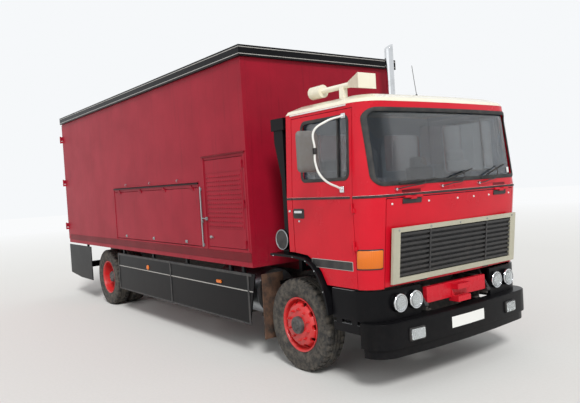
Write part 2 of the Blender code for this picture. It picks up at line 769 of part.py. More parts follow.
def box_floor():
    ends = fore(BOX_REAR) + LEAF_THICKNESS + LEAF_GAP, fore(BOX_FRONT)
    floor = block("body_floor", (ends[0], -BOX_HALF_WIDTH, BOX_BOTTOM),
                  (ends[1], BOX_HALF_WIDTH, FLOOR_TOP), "box_red")
    for word, side in sides():
        y = span(side, RAIL_HALF_WIDTH - RAIL_FLANGE, RAIL_HALF_WIDTH)
        join(floor, block(f"runner_{word}", (fore(RAIL_REAR), y[0], RAIL_TOP + SEAT),
                          (ends[1] - 0.01, y[1], BOX_BOTTOM + 0.01)))
    inside = BOX_HALF_WIDTH - BOX_WALL - DECK_GAP
    deck_rear = rear_frame_x()[1] + DECK_GAP
    join(floor, block("deck", (deck_rear, -inside, FLOOR_TOP - DECK_THICKNESS),
                      (ends[1] - BOX_WALL - DECK_GAP, inside, FLOOR_TOP + DECK_THICKNESS)))
    return floor


def box_front_wall():
    front = fore(BOX_FRONT)
    return block("body_front_wall", (front - BOX_WALL, -BOX_HALF_WIDTH, FLOOR_TOP + SEAT),
                 (front, BOX_HALF_WIDTH, WALL_TOP), "box_red")


def rear_frame_x():
    """Rear face of the door frame and its front face."""
    rear = fore(BOX_REAR) + LEAF_THICKNESS + LEAF_GAP
    return rear, rear + FRAME_DEPTH


def box_side_wall(word, side):
    low, high = span(side, BOX_HALF_WIDTH - BOX_WALL, BOX_HALF_WIDTH)
    wall = block(f"body_{word}_wall", (rear_frame_x()[1] + SEAT, low, FLOOR_TOP + SEAT),
                 (fore(BOX_FRONT) - BOX_WALL - SEAT, high, WALL_TOP), "box_red")
    if side < 0:
        cut(wall,
            side_block("side_door_hole", side,
                       (SIDE_DOOR_REAR - SWING_GAP, SIDE_DOOR_FRONT + PANEL_GAP), (1.0, 1.5),
                       (SIDE_DOOR_BOTTOM - PANEL_GAP, SIDE_DOOR_TOP + PANEL_GAP)),
            side_block("locker_hole", side,
                       (LOCKER_REAR - PANEL_GAP, LOCKER_FRONT + PANEL_GAP), (1.0, 1.5),
                       (LOCKER_BOTTOM - SWING_GAP, LOCKER_TOP + PANEL_GAP)))
        half_gap = PANEL_GAP / 2
        upright_hinge(wall, side_door(), side, SIDE_DOOR_FRONT + half_gap, BOX_HALF_WIDTH,
                      SIDE_DOOR_HINGES)
        level_hinge(wall, locker_flap(), LOCKER_TOP + half_gap, LOCKER_HINGES)
    return wall


def rear_frame():
    rear, front = rear_frame_x()
    wide = BOX_HALF_WIDTH
    frame = block("rear_frame", (rear, -wide, FLOOR_TOP + SEAT), (front, wide, WALL_TOP),
                  "box_red")
    cut(frame, block("rear_hole", (rear - 0.1, -wide + 0.09, FLOOR_TOP + 0.05),
                     (front + 0.1, wide - 0.09, WALL_TOP - 0.10)))
    strip = [(0.0035, 0.0035), (-0.0035, -0.0035), (0.0415, -0.0485), (0.0485, -0.0415)]
    for word, side in sides():
        x, y = barn_axis(side)
        outline = [(x + ahead, y + side * out) for ahead, out in strip]
        for number, z in enumerate(BARN_HINGES):
            low, high = z - 0.09, z - 0.05 - SEAT
            join(frame, plate(f"lug_web_{word}_{number}", outline, low, high, "Z"),
                 bar(f"lug_{word}_{number}", (x, y, low), (x, y, high), BARN_PIN_RADIUS, KNUCKLE_SIDES))
    return frame


def box_roof():
    """Roof skin with its black double moulding round the front and sides."""
    rear, front = rear_frame_x()[0], fore(BOX_FRONT)
    wide = BOX_HALF_WIDTH
    half = [(wide, WALL_TOP + SEAT), (wide, 3.655), (wide * 0.66, ROOF_TOP - 0.003)]
    outline = half + [(-y, z) for y, z in reversed(half)]
    roof = plate("body_roof", outline, rear, front, "X", "black_paint")
    trim_low = wide + SEAT
    for word, side in sides():
        y = span(side, trim_low, wide + TRIM_PROUD)
        join(roof, block(f"trim_{word}", (rear, y[0], TRIM_BOTTOM), (front, y[1], ROOF_TOP)),
             block(f"trim_web_{word}", (rear, min(side * (wide - 0.02), side * (wide + 0.02)),
                                        WALL_TOP + 0.004),
                   (front, max(side * (wide - 0.02), side * (wide + 0.02)), ROOF_TOP - 0.02)))
    nose = block("trim_front", (front + SEAT, -wide - TRIM_PROUD, TRIM_BOTTOM),
                 (front + TRIM_PROUD, wide + TRIM_PROUD, ROOF_TOP))
    web = block("trim_web_front", (front - 0.02, -wide + 0.01, WALL_TOP + 0.004),
                (front + 0.02, wide - 0.01, ROOF_TOP - 0.02))
    return join(roof, nose, web)


def box_side_leaf(name, front, rear, bottom, top):
    """A side door or locker flap in the right wall."""
    return side_block(name, -1, (rear, front), (BOX_HALF_WIDTH - 0.05, BOX_HALF_WIDTH),
                      (bottom, top), "box_red")


def side_door():
    return box_side_leaf("side_door", SIDE_DOOR_FRONT, SIDE_DOOR_REAR, SIDE_DOOR_BOTTOM,
                         SIDE_DOOR_TOP)


def locker_flap():
    return box_side_leaf("locker_flap", LOCKER_FRONT, LOCKER_REAR, LOCKER_BOTTOM, LOCKER_TOP)


def barn_axis(side):
    """X and y of a rear door's hinge axis, outboard of the side wall."""
    return fore(BOX_REAR) + 0.015, side * (BOX_HALF_WIDTH + HINGE_OUT)


def rear_door(word, side):
    rear = BOX_REAR
    leaf = side_block(f"rear_door_{word}", side, (rear, rear + LEAF_THICKNESS),
                      (0.004, BOX_HALF_WIDTH - 0.005), (FLOOR_TOP + 0.01, BARN_TOP),
                      "box_red")
    x, y = barn_axis(side)
    for number, z in enumerate(BARN_HINGES):
        strap = side_block(f"strap_{word}_{number}", side, (rear, rear + 0.028),
                           (BOX_HALF_WIDTH - 0.02, BOX_HALF_WIDTH + HINGE_OUT),
                           (z - 0.04, z + 0.04))
        pin = bar(f"pin_{word}_{number}", (x, y, z - 0.05), (x, y, z + 0.05),
                  BARN_PIN_RADIUS, KNUCKLE_SIDES)
        join(leaf, strap, pin)
    return leaf


def skirt(word, side):
    outline = [(SKIRT_FRONT, SKIRT_TOP), (SKIRT_REAR, SKIRT_TOP), (SKIRT_REAR, SKIRT_BOTTOM),
               (SKIRT_FRONT - 0.17, SKIRT_BOTTOM)]
    outer = BOX_HALF_WIDTH
    inner = outer - SKIRT_THICKNESS
    panel = side_plate(f"skirt_{word}", outline, side, inner, outer, "black_paint")
    for number, x in enumerate((-0.90, -1.20, -2.37, -3.50, -4.70)):
        join(panel, side_block(f"skirt_hanger_{word}_{number}", side, (x - 0.025, x + 0.025),
                               (inner - 0.03, inner + 0.005), (0.50, BOX_BOTTOM - SEAT)))
    return panel


def rear_underrun():
    """Rear beam with its brackets, and the short skirts that it joins behind the wheels."""
    rear = fore(BOX_REAR) + 0.05
    beam = block("rear_underrun", (rear, -1.20, 0.52), (rear + 0.08, 1.20, 0.64),
                 "black_paint")
    for word, side in sides():
        join(beam, side_block(f"beam_bracket_{word}", side,
                              (BOX_REAR + 0.06, RAIL_REAR + 0.10), (0.36, 0.43),
                              (0.56, RAIL_BOTTOM - SEAT)))
        outline = [(REAR_SKIRT_FRONT, 1.05), (BOX_REAR + 0.02, 1.05), (BOX_REAR + 0.02, 0.46),
                   (-7.05, 0.405), (REAR_SKIRT_FRONT, 0.405)]
        inner = BOX_HALF_WIDTH - SKIRT_THICKNESS
        panel = side_plate(f"rear_skirt_{word}", outline, side, inner, BOX_HALF_WIDTH)
        arm = side_block(f"skirt_arm_{word}", side, (BOX_REAR + 0.05, BOX_REAR + 0.13),
                         (1.15, inner + 0.005), (0.53, 0.63))
        hanger = side_block(f"rear_hanger_{word}", side, (-6.62, -6.57),
                            (inner - 0.03, inner + 0.005), (0.50, BOX_BOTTOM - SEAT))
        join(beam, panel, arm, hanger)
    return beam


# Cab

def cab_section(z, half_width, front, rear, radius, bow):
    """One level of the cab: straight sides, round front corners and a bowed front."""
    points = [(rear, -half_width)]
    centre_x, centre_y = front - bow - radius, half_width - radius
    for k in range(ARC_STEPS + 1):
        angle = math.radians(90 * k / ARC_STEPS)
        points.append((centre_x + radius * math.sin(angle),
                       -(centre_y + radius * math.cos(angle))))
    points.append((front - bow * 0.25, -centre_y * 0.5))
    whole = points + [(front, 0.0)] + [(x, -y) for x, y in reversed(points)]
    return [(fore(x), y, z) for x, y in whole]


def cab_form(name, inset, bottom=CAB_BOTTOM, top=CAB_EAVES, finish=None, rear=None):
    """The cab's walls as a solid, drawn in by an inset all round."""
    rear = inset if rear is None else rear
    def level(z):
        up = max(0.0, (z - WAIST) / (CAB_EAVES - WAIST))
        down = max(0.0, (WAIST - z) / (WAIST - CAB_BOTTOM))
        half = CAB_HALF_WIDTH - (CAB_HALF_WIDTH - CAB_ROOF_HALF_WIDTH) * up - inset
        front = CAB_FRONT - CAB_RAKE * up - CAB_TUCK * down - inset
        return cab_section(z, half, front, rear, CAB_CORNER - inset, CAB_BOW)
    return loft(name, [level(z) for z in (bottom, WAIST, top)], finish)


def cab_walls(name, finish):
    """Hollow cab walls, open above and below."""
    walls = cab_form(name, 0.0, finish=finish)
    return cut(walls, cab_form(f"{name}_inside", CAB_WALL, CAB_BOTTOM - 0.1, CAB_EAVES + 0.1))


def arch_cutter(name, side):
    """Everything below the mudguard's outer edge, widened by the clearance."""
    outline = [(-0.5, 0.5), (-0.5, ARCH[0][1] + ARCH_CLEAR)]
    for k, (x, z) in enumerate(ARCH[1:-1]):
        ahead, behind = ARCH[k + 2], ARCH[k]
        run = Vector((ahead[0] - behind[0], ahead[1] - behind[1])).normalized()
        outline.append((x - run[1] * ARCH_CLEAR, z + run[0] * ARCH_CLEAR))
    outline.append((ARCH[-1][0] + ARCH_CLEAR, 0.5))
    return side_plate(name, outline, side, 0.70, 1.40)


def door_outline(gap):
    low = DOOR_REAR, DOOR_BOTTOM
    if gap < 0:
        low = DOOR_REAR - SWING_GAP, DOOR_BOTTOM - 0.2
    high = DOOR_FRONT - gap, DOOR_TOP - gap
    return [low, (high[0], low[1]), high, (low[0], high[1])]


def window_outline(grow):
    return rounded((WINDOW_REAR - grow, WINDOW_BOTTOM - grow),
                   (WINDOW_FRONT + grow, WINDOW_TOP + grow), 0.06 + grow)


def screen_outline(grow):
    wide = SCREEN_HALF_WIDTH + grow
    return rounded((-wide, SCREEN_BOTTOM - grow), (wide, SCREEN_TOP + grow),
                   SCREEN_CORNER + grow)


def flap_outline(gap):
    wide, low = FLAP_HALF_WIDTH - gap, FLAP_BOTTOM + gap
    if gap < 0:
        low -= 0.2
    return [(-wide, low), (wide, low), (wide, FLAP_TOP - gap), (-wide, FLAP_TOP - gap)]


def flap_hinges(shell, flap):
    """Barrels on the front flap's top edge: the flap's between the shell's."""
    x, z, radius = fore(FLAP_HINGE_X), FLAP_HINGE_Z, KNUCKLE_RADIUS
    for number, (low, high) in enumerate(FLAP_HINGES):
        third = (high - low) / 3
        runs = (
            # what carries it, its ends, heights of its web
            (shell, low, low + third - SEAT, (z + 0.003, z + 0.016)),
            (flap, low + third, high - third, (z - 0.022, z - 0.0065)),
            (shell, high - third + SEAT, high, (z + 0.003, z + 0.016)),
        )
        for place, (item, start, end, web) in enumerate(runs):
            name = f"flap_barrel_{number}_{place}"
            join(item, bar(name, (x, start, z), (x, end, z), radius, KNUCKLE_SIDES),
                 block(f"{name}_web", (fore(FLAP_HINGE_X - 0.055), start, web[0]),
                       (x + 0.003, end, web[1])))


def cab_shell():
    shell = cab_walls("cab_shell", "cab_red")
    for word, side in sides():
        cut(shell, side_plate(f"door_hole_{word}", door_outline(-PANEL_GAP), side, 1.02, 1.4),
            arch_cutter(f"shell_arch_{word}", side))
        low, high = span(side, BACK_WINDOW_INNER, BACK_WINDOW_OUTER)
        pane = rounded((low, BACK_WINDOW_BOTTOM), (high, BACK_WINDOW_TOP), 0.05)
        cut(shell, plate(f"back_window_{word}", pane, fore(-0.1), fore(0.1), "X"))
    back = fore(-0.1), fore(CAB_WALL + 0.001)
    cut(shell, block("back_foot", (back[0], -1.3, 0.8), (back[1], 1.3, 1.298)),
        block("back_tunnel", (back[0], -0.42, 0.8), (back[1], 0.42, 1.42)))
    cut(shell, plate("screen_hole", screen_outline(0.0), fore(1.10), fore(1.5), "X"),
        plate("flap_hole", flap_outline(-0.002), fore(1.10), fore(1.5), "X"))
    flap_hinges(shell, front_flap())
    for word, side in sides():
        upright_hinge(shell, cab_door(word, side), side, DOOR_FRONT + PANEL_GAP / 2,
                      CAB_HALF_WIDTH, DOOR_HINGES)
    return shell


def cab_roof():
    """A dome: eaves, shoulder and crown."""
    def section(z, inset, drop):
        half = CAB_ROOF_HALF_WIDTH - inset - drop
        front = CAB_FRONT - CAB_RAKE - inset - drop
        return cab_section(z, half, front, inset + drop, CAB_CORNER - inset * 0.4 - drop,
                           CAB_BOW)
    base = CAB_EAVES + SEAT
    outer = [section(base + rise, inset, 0.0) for rise, inset in ROOF_LEVELS]
    roof = loft("cab_roof", outer, "cream")
    inner = [section(base - 0.05, 0.0, CAB_WALL)]
    inner += [section(base + rise - ROOF_WALL * 0.5, inset, CAB_WALL)
              for rise, inset in ROOF_LEVELS[1:3]]
    return cut(roof, loft("roof_inside", inner))


def cab_floor():
    """Stepped floor, engine tunnel, front bulkhead and dashboard."""
    back, riser = CAB_WALL + SEAT, 0.64
    shelf, well, sheet = SHELF_TOP, WELL_TOP, 0.025
    outline = [(back, shelf), (riser, shelf), (riser, well), (BULKHEAD_X - sheet, well),
               (BULKHEAD_X - sheet, 1.95), (BULKHEAD_X, 1.95),
               (BULKHEAD_X, well - sheet), (riser - sheet, well - sheet),
               (riser - sheet, shelf - sheet), (back, shelf - sheet)]
    wide = CAB_HALF_WIDTH
    points = [(fore(x), z) for x, z in outline]
    floor = plate("cab_floor", points, -wide, wide, "Y", "interior_blue")
    tunnel = block("tunnel", (fore(back + 0.001), -0.46, well - sheet / 2),
                   (fore(BULKHEAD_X - 0.01), 0.46, 1.445))
    dash = [(0.97, 1.72), (1.00, 1.93), (1.14, 1.97), (1.14, 1.66), (1.02, 1.66)]
    board = plate("dashboard", [(fore(x), z) for x, z in dash], -1.04, 1.04, "Y")
    join(floor, tunnel, board)
    cut(floor, block("tunnel_inside", (fore(-0.1), -0.435, 0.8), (fore(1.4), 0.435, 1.42)))
    keep(floor, cab_form("floor_limit", CAB_WALL + 0.005, 0.9, CAB_EAVES,
                         rear=CAB_WALL + SEAT))
    lug = [(1.05, 1.03), (1.12, 1.03), (TILT_X + 0.021, TILT_Z + 0.01),
           (TILT_X - 0.02, TILT_Z - 0.012)]
    for word, side in sides():
        y = side * TILT_LUG_Y, side * (TILT_LUG_Y + 0.03)
        join(floor, side_plate(f"tilt_lug_{word}", lug, side, TILT_LUG_Y, TILT_LUG_Y + 0.03),
             bar(f"tilt_eye_{word}", (fore(TILT_X), y[0], TILT_Z), (fore(TILT_X), y[1], TILT_Z),
                 0.024, 10))
    return floor


def glass_pane(name, cutter):
    pane = cab_form(name, GLASS_INSET, finish="glass")
    cut(pane, cab_form(f"{name}_inside", GLASS_INSET + GLASS_THICKNESS, CAB_BOTTOM - 0.1,
                       CAB_EAVES + 0.1))
    return keep(pane, cutter)


def windscreen():
    cutter = plate("screen_pane", screen_outline(-SEAT), fore(1.12), fore(1.5), "X")
    return glass_pane("windscreen", cutter)


def cab_door(word, side):
    door = cab_walls(f"cab_door_{word}", "cab_red")
    keep(door, side_plate(f"door_block_{word}", door_outline(0.0), side, 1.02, 1.4))
    return cut(door, side_plate(f"door_window_{word}", window_outline(0.0), side, 1.0, 1.4),
               arch_cutter(f"door_arch_{word}", side))


def door_glass(word, side):
    cutter = side_plate(f"door_pane_{word}", window_outline(-SEAT), side, 1.0, 1.4)
    return glass_pane(f"door_glass_{word}", cutter)


def side_face(z):
    """Half width of the cab at a height above the waist."""
    share = (z - WAIST) / (CAB_EAVES - WAIST)
    return CAB_HALF_WIDTH - (CAB_HALF_WIDTH - CAB_ROOF_HALF_WIDTH) * share


def mirror_base(name, side, x, z, depth):
    """A pad that lies on the door's leaning face."""
    outline = [(side_face(z[0]) + SEAT, z[0]), (side_face(z[0]) + depth, z[0]),
               (side_face(z[1]) + depth, z[1]), (side_face(z[1]) + SEAT, z[1])]
    points = [(side * y, height) for y, height in outline]
    return plate(name, points, fore(x[0]), fore(x[1]), "X")


def mirror(word, side):
    """Tube arms from the door to the mirror's head."""
    x = 0.84
    upper = side_face(2.66) + 0.012
    route = [(0.93, upper, 2.66), (0.90, 1.36, 2.60), (x, 1.45, 2.52), (x, 1.45, 2.21),
             (0.87, 1.40, 2.08), (0.90, 1.20, 1.965)]
    arm = pipe(f"mirror_{word}", [(fore(a), side * b, c) for a, b, c in route], 0.011,
               "white_paint")
    foot = mirror_base(f"mirror_foot_{word}", side, (0.87, 0.93), (1.93, 1.99), 0.028)
    pad = mirror_base(f"mirror_pad_{word}", side, (0.90, 0.96), (2.635, 2.685), 0.022)
    head = side_plate(f"mirror_head_{word}", [(x - 0.05, 2.14), (x - 0.008, 2.14),
                      (x - 0.008, 2.53), (x - 0.05, 2.53)], side, 1.385, 1.635)
    stem = side_block(f"mirror_clamp_{word}", side, (x - 0.015, x + 0.012), (1.435, 1.465),
                      (2.31, 2.36))
    return join(arm, foot, pad, head, stem)


def front_flap():
    flap = cab_form("front_flap", 0.0, finish="cab_red")
    cut(flap, cab_form("flap_inside", FLAP_THICKNESS, CAB_BOTTOM - 0.1, CAB_EAVES + 0.1))
    keep(flap, plate("flap_block", flap_outline(PANEL_GAP), fore(1.0), fore(1.5), "X"))
    return cut(flap, block("grille_hole", (fore(1.0), -0.88, 1.10), (fore(1.5), 0.88, 1.53)))


def front_face(z):
    """X of the cab's front at the middle, below the waist."""
    return CAB_FRONT - CAB_TUCK * (WAIST - z) / (WAIST - CAB_BOTTOM)


def grille_slab(name, low, high, half_width, root, proud, finish=None):
    """A slab that leans with the cab's front, from root behind it to proud before it."""
    corners = [(low, root), (low, proud), (high, proud), (high, root)]
    points = [(fore(front_face(z) + depth), z) for z, depth in corners]
    return plate(name, points, -half_width, half_width, "Y", finish)


def grille():
    """Pressed frame on the flap's face with level slats across its opening."""
    flat = GRILLE_BACK
    frame = grille_slab("grille", GRILLE_LOW, GRILLE_HIGH, GRILLE_HALF_WIDTH, flat,
                        GRILLE_PROUD, "grille_beige")
    cut(frame, block("grille_inside", (fore(1.0), -GRILLE_INNER, GRILLE_INNER_LOW),
                     (fore(1.5), GRILLE_INNER, GRILLE_INNER_HIGH)))
    pitch = (GRILLE_INNER_HIGH - GRILLE_INNER_LOW) / GRILLE_SLATS
    for number in range(GRILLE_SLATS):
        z = GRILLE_INNER_LOW + pitch * (number + 0.5)
        join(frame, grille_slab(f"slat_{number}", z - 0.012, z + 0.012, GRILLE_INNER + 0.01,
                                flat + 0.004, GRILLE_PROUD - 0.006))
    return frame


def seat(word, side):
    outline = [(0.18, SHELF_TOP + SEAT), (0.64, SHELF_TOP + SEAT), (0.70, 1.50), (0.70, 1.60),
               (0.34, 1.58), (0.25, 2.20), (0.13, 2.19), (0.17, 1.55)]
    return side_plate(f"seat_{word}", outline, side, 0.47, 0.95, "seat_fabric")


def steering_wheel():
    centre = Vector((fore(0.71), -0.70, 1.80))
    lean = Matrix.Rotation(-COLUMN_LEAN, 4, "Y")
    bpy.ops.mesh.primitive_torus_add(major_segments=16, minor_segments=5, major_radius=0.235,
                                     minor_radius=0.014)
    ring = bpy.context.object
    ring.matrix_world = Matrix.Translation(centre) @ lean
    wheel = add_object("steering_wheel", take_mesh(ring, "steering_wheel"), "seat_fabric")
    down = (lean @ Vector((0, 0, -1))).normalized()
    across = (lean @ Vector((1, 0, 0))).normalized()
    hub = centre + down * 0.03
    column_low = COLUMN_RADIUS * math.sin(COLUMN_LEAN) + SEAT
    foot = centre + down * ((centre.z - WELL_TOP - column_low) / -down.z)
    column = bar("column", hub - down * 0.03, foot, COLUMN_RADIUS, 10)
    join(wheel, column)
    for number, turn in enumerate((90, 210, 330)):
        reach = Matrix.Rotation(math.radians(turn), 4, down) @ across
        join(wheel, bar(f"spoke_{number}", hub - down * 0.02, centre + reach * 0.235, 0.009, 6))
    return wheel


def horn_seat(y):
    """Height just over the roof's upper slope at a place across the cab."""
    (low_rise, low_inset), (high_rise, high_inset) = ROOF_LEVELS[2:]
    share = (CAB_ROOF_HALF_WIDTH - low_inset - abs(y)) / (high_inset - low_inset)
    return CAB_EAVES + 2 * SEAT + low_rise + (high_rise - low_rise) * share


def air_horn():
    y, z = -0.86, 3.00
    horn = bar("air_horn", (fore(0.30), y, z), (fore(0.75), y, z), 0.03, 12, "cream")
    bell = loft("horn_bell", [
        [(fore(0.74), y - 0.03, z - 0.03), (fore(0.74), y + 0.03, z - 0.03),
         (fore(0.74), y + 0.03, z + 0.03), (fore(0.74), y - 0.03, z + 0.03)],
        [(fore(0.98), y - 0.12, z - 0.075), (fore(0.98), y + 0.12, z - 0.075),
         (fore(0.98), y + 0.12, z + 0.075), (fore(0.98), y - 0.12, z + 0.075)]])
    unit = bar("horn_unit", (fore(0.14), y, z), (fore(0.32), y, z), 0.07, 14)
    foot = plate("horn_foot", [(y - 0.03, horn_seat(y - 0.03)), (y + 0.03, horn_seat(y + 0.03)),
                               (y + 0.03, z), (y - 0.03, z)], fore(0.60), fore(0.66), "X")
    return join(horn, bell, unit, foot)


# Steering and wheels

def knuckle(word, side):
    y = side * KINGPIN_Y
    out = side * 0.925
    plate_disc = bar(f"knuckle_{word}", (fore(0), side * 0.912, TYRE_RADIUS),
                     (fore(0), out, TYRE_RADIUS), 0.19, 20, "chassis_black")
    spindle = bar(f"spindle_{word}", (fore(0), side * 0.90, TYRE_RADIUS),
                  (fore(0), side * 1.05, TYRE_RADIUS), SPINDLE_RADIUS, WHEEL_STEPS)
    back = side_block(f"fork_back_{word}", side, (-0.045, 0.045), (0.890, 0.915),
                      (ARM_BOTTOM, 0.605))
    upper = side_block(f"fork_top_{word}", side, (-0.045, 0.045), (0.785, 0.90),
                       (0.566, 0.605))
    lower = side_block(f"fork_bottom_{word}", side, (-0.045, 0.045), (0.785, 0.90),
                       (ARM_BOTTOM, 0.433))
    pin = bar(f"kingpin_{word}", (fore(0), y, 0.42), (fore(0), y, 0.58), KINGPIN_RADIUS,
              KINGPIN_SIDES)
    arm = side_block(f"steering_arm_{word}", side, (-STEERING_ARM - 0.02, -0.02),
                     (KINGPIN_Y - 0.018, KINGPIN_Y + 0.018), (ARM_BOTTOM, ARM_TOP))
    return join(plate_disc, spindle, back, upper, lower, pin, arm)


def tie_rod():
    x, z = fore(-STEERING_ARM), ARM_BOTTOM - 0.020
    rod = bar("tie_rod", (x, -KINGPIN_Y, z), (x, KINGPIN_Y, z), 0.014, 10, "chassis_black")
    for word, side in sides():
        y = side * KINGPIN_Y
        join(rod, bar(f"rod_eye_{word}", (x, y, z - 0.018), (x, y, ARM_BOTTOM - SEAT), 0.024,
                      12))
    return rod


def tyre(name, centre, outboard):
    bead, nest = BEAD_RADIUS + SEAT, RIM_HALF_WIDTH - FLANGE_THICKNESS - SEAT
    half = [(bead, nest), (FLANGE_RADIUS + SEAT, nest), (0.385, TYRE_HALF_WIDTH),
            (0.475, TYRE_HALF_WIDTH - 0.009), (TYRE_RADIUS, 0.095)]
    profile = half + [(r, -h) for r, h in reversed(half)]
    return turned(name, profile, centre, outboard, WHEEL_STEPS, "tyre_rubber", closed=True)


def front_wheel(name, centre, outboard):
    """Convex disc, rim, hub and brake drum as one turned form."""
    rim, lip = RIM_HALF_WIDTH, RIM_HALF_WIDTH - FLANGE_THICKNESS
    profile = [(0.0, 0.170), (0.085, 0.165), (0.098, 0.112), (0.205, 0.108),
               (0.238, 0.080), (0.266, 0.030), (0.274, 0.085), (FLANGE_RADIUS, rim),
               (FLANGE_RADIUS, lip), (BEAD_RADIUS, lip), (BEAD_RADIUS, -lip),
               (FLANGE_RADIUS, -lip), (FLANGE_RADIUS, -rim), (0.278, -rim), (0.262, 0.010),
               (DRUM_RADIUS, 0.090), (DRUM_RADIUS, -0.078),
               (bore_for(SPINDLE_RADIUS), -0.078), (bore_for(SPINDLE_RADIUS), 0.048),
               (0.0, 0.048)]
    return turned(name, profile, centre, outboard, WHEEL_STEPS, "wheel_red")


def rear_wheel(name, centre, outboard):
    """Twin rims bolted back to back on one hub and drum, as one turned form."""
    middle, rim = TWIN_HALF_SPACING, RIM_HALF_WIDTH
    lip = rim - FLANGE_THICKNESS
    profile = [(0.0, 0.215), (0.088, 0.213), (0.112, 0.150), (0.115, 0.018),
               (0.205, 0.018), (0.264, 0.085), (0.274, middle + lip - 0.01),
               (FLANGE_RADIUS, middle + rim), (FLANGE_RADIUS, middle + lip),
               (BEAD_RADIUS, middle + lip), (BEAD_RADIUS, middle - lip),
               (FLANGE_RADIUS, middle - lip), (FLANGE_RADIUS, middle - rim), (0.235, 0.0),
               (FLANGE_RADIUS, rim - middle), (FLANGE_RADIUS, lip - middle),
               (BEAD_RADIUS, lip - middle), (BEAD_RADIUS, -middle - lip),
               (FLANGE_RADIUS, -middle - lip), (FLANGE_RADIUS, -middle - rim),
               (0.276, -middle - rim), (0.258, -0.085), (DRUM_RADIUS, -0.05),
               (DRUM_RADIUS, -0.215), (bore_for(AXLE_TUBE_RADIUS), -0.215),
               (bore_for(AXLE_TUBE_RADIUS), 0.105), (0.0, 0.105)]
    return turned(name, profile, centre, outboard, WHEEL_STEPS, "wheel_red")


def wheels():
    for word, side in sides():
        y = side * (FRONT_RIM_FACE - RIM_HALF_WIDTH)
        centre = (fore(0), y, TYRE_RADIUS)
        front_wheel(f"front_wheel_{word}", centre, side)
        tyre(f"front_tyre_{word}", centre, side)
        middle = REAR_RIM_FACE - RIM_HALF_WIDTH - TWIN_HALF_SPACING
        x = fore(-WHEELBASE)
        rear_wheel(f"rear_wheel_{word}", (x, side * middle, TYRE_RADIUS), side)
        for place, shift in (("outer", TWIN_HALF_SPACING), ("inner", -TWIN_HALF_SPACING)):
            tyre(f"rear_tyre_{word}_{place}", (x, side * (middle + shift), TYRE_RADIUS), side)


def build():
    chassis_frame()
    front_axle()
    rear_axle()
    engine_block()
    radiator()
    fuel_tank()
    battery_box()
    front_bumper()
    tow_bracket()
    air_intake()
    exhaust_stack()
    box_floor()
    box_front_wall()
    rear_frame()
    box_roof()
    rear_underrun()
    cab_shell()
    cab_roof()
    cab_floor()
    windscreen()
    grille()
    steering_wheel()
    air_horn()
    tie_rod()
    wheels()
    for word, side in sides():
        corner_panel(word, side)
        mudguard(word, side)
        box_side_wall(word, side)
        rear_door(word, side)
        skirt(word, side)
        door_glass(word, side)
        mirror(word, side)
        seat(word, side)
        knuckle(word, side)


build()
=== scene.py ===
"""Decorated truck: finishes, tyres, wheels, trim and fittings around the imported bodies."""
import json
import math

import bmesh
import bpy
from mathutils import Matrix, Vector


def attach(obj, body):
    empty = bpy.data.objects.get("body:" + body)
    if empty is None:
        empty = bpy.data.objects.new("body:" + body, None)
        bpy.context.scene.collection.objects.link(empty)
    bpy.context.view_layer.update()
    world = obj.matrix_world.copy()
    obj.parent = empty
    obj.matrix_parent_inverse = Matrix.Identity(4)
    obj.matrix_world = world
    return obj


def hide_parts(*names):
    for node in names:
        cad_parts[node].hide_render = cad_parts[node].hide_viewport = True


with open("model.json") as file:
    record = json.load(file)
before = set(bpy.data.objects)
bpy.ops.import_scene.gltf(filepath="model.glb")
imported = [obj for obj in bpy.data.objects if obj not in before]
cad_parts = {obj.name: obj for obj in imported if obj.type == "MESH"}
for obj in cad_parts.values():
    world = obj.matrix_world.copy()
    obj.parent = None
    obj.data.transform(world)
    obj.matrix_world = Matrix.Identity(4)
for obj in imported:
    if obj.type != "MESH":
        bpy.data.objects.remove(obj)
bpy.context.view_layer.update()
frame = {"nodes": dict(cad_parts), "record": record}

# Driving sizes, in metres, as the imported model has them
AXLE = 3.17
WHEELBASE = 5.79
TYRE_RADIUS = 0.505
FRONT_TRACK = 1.015
REAR_TRACK = 0.883
TWIN = 0.155
CAB_WAIST = 1.865
CAB_TOP = 2.77
CAB_FOOT = 1.005
CAB_HALF = 1.19
CAB_NOSE = 1.335
RAKE, TUCK, LEAN_IN = 0.07, 0.086, 0.05
CORNER = 0.24
BOW = 0.04
BOX_HALF = 1.25
BOX_NOSE = -0.665
BOX_TAIL = -7.675
STEPS = 96
AERIAL_X, AERIAL_Y = 0.95, -0.12
CREASE = math.radians(35)


def fore(ahead):
    """World x of a point that far ahead of the front axle."""
    return AXLE + ahead


def sides():
    """The driver's side and the other one, with the sign of y on each."""
    return (("right", -1), ("left", 1))


# Materials

def colour(code):
    """An sRGB hex colour as the linear one that a socket takes."""
    shares = [int(code[k:k + 2], 16) / 255 for k in (0, 2, 4)]
    return tuple(c / 12.92 if c <= 0.04045 else ((c + 0.055) / 1.055) ** 2.4
                 for c in shares) + (1.0,)


def add(tree, kind, inputs=None, **settings):
    """Adds a node with its settings; an input is a value or the socket that feeds it."""
    node = tree.nodes.new("ShaderNode" + kind)
    for name, value in settings.items():
        setattr(node, name, value)
    for name, value in (inputs or {}).items():
        if isinstance(value, bpy.types.NodeSocket):
            tree.links.new(value, node.inputs[name])
        else:
            node.inputs[name].default_value = value
    return node


def new_finish(name):
    """An empty material, its tree and the Object coordinates in it."""
    finish = bpy.data.materials.new(name)
    finish.use_nodes = True
    tree = finish.node_tree
    tree.nodes.clear()
    return finish, tree, add(tree, "TexCoord").outputs["Object"]


def close_finish(tree, inputs):
    """The shader and the output that end a tree."""
    shader = add(tree, "BsdfPrincipled", inputs)
    add(tree, "OutputMaterial", {"Surface": shader.outputs[0]})
    return shader


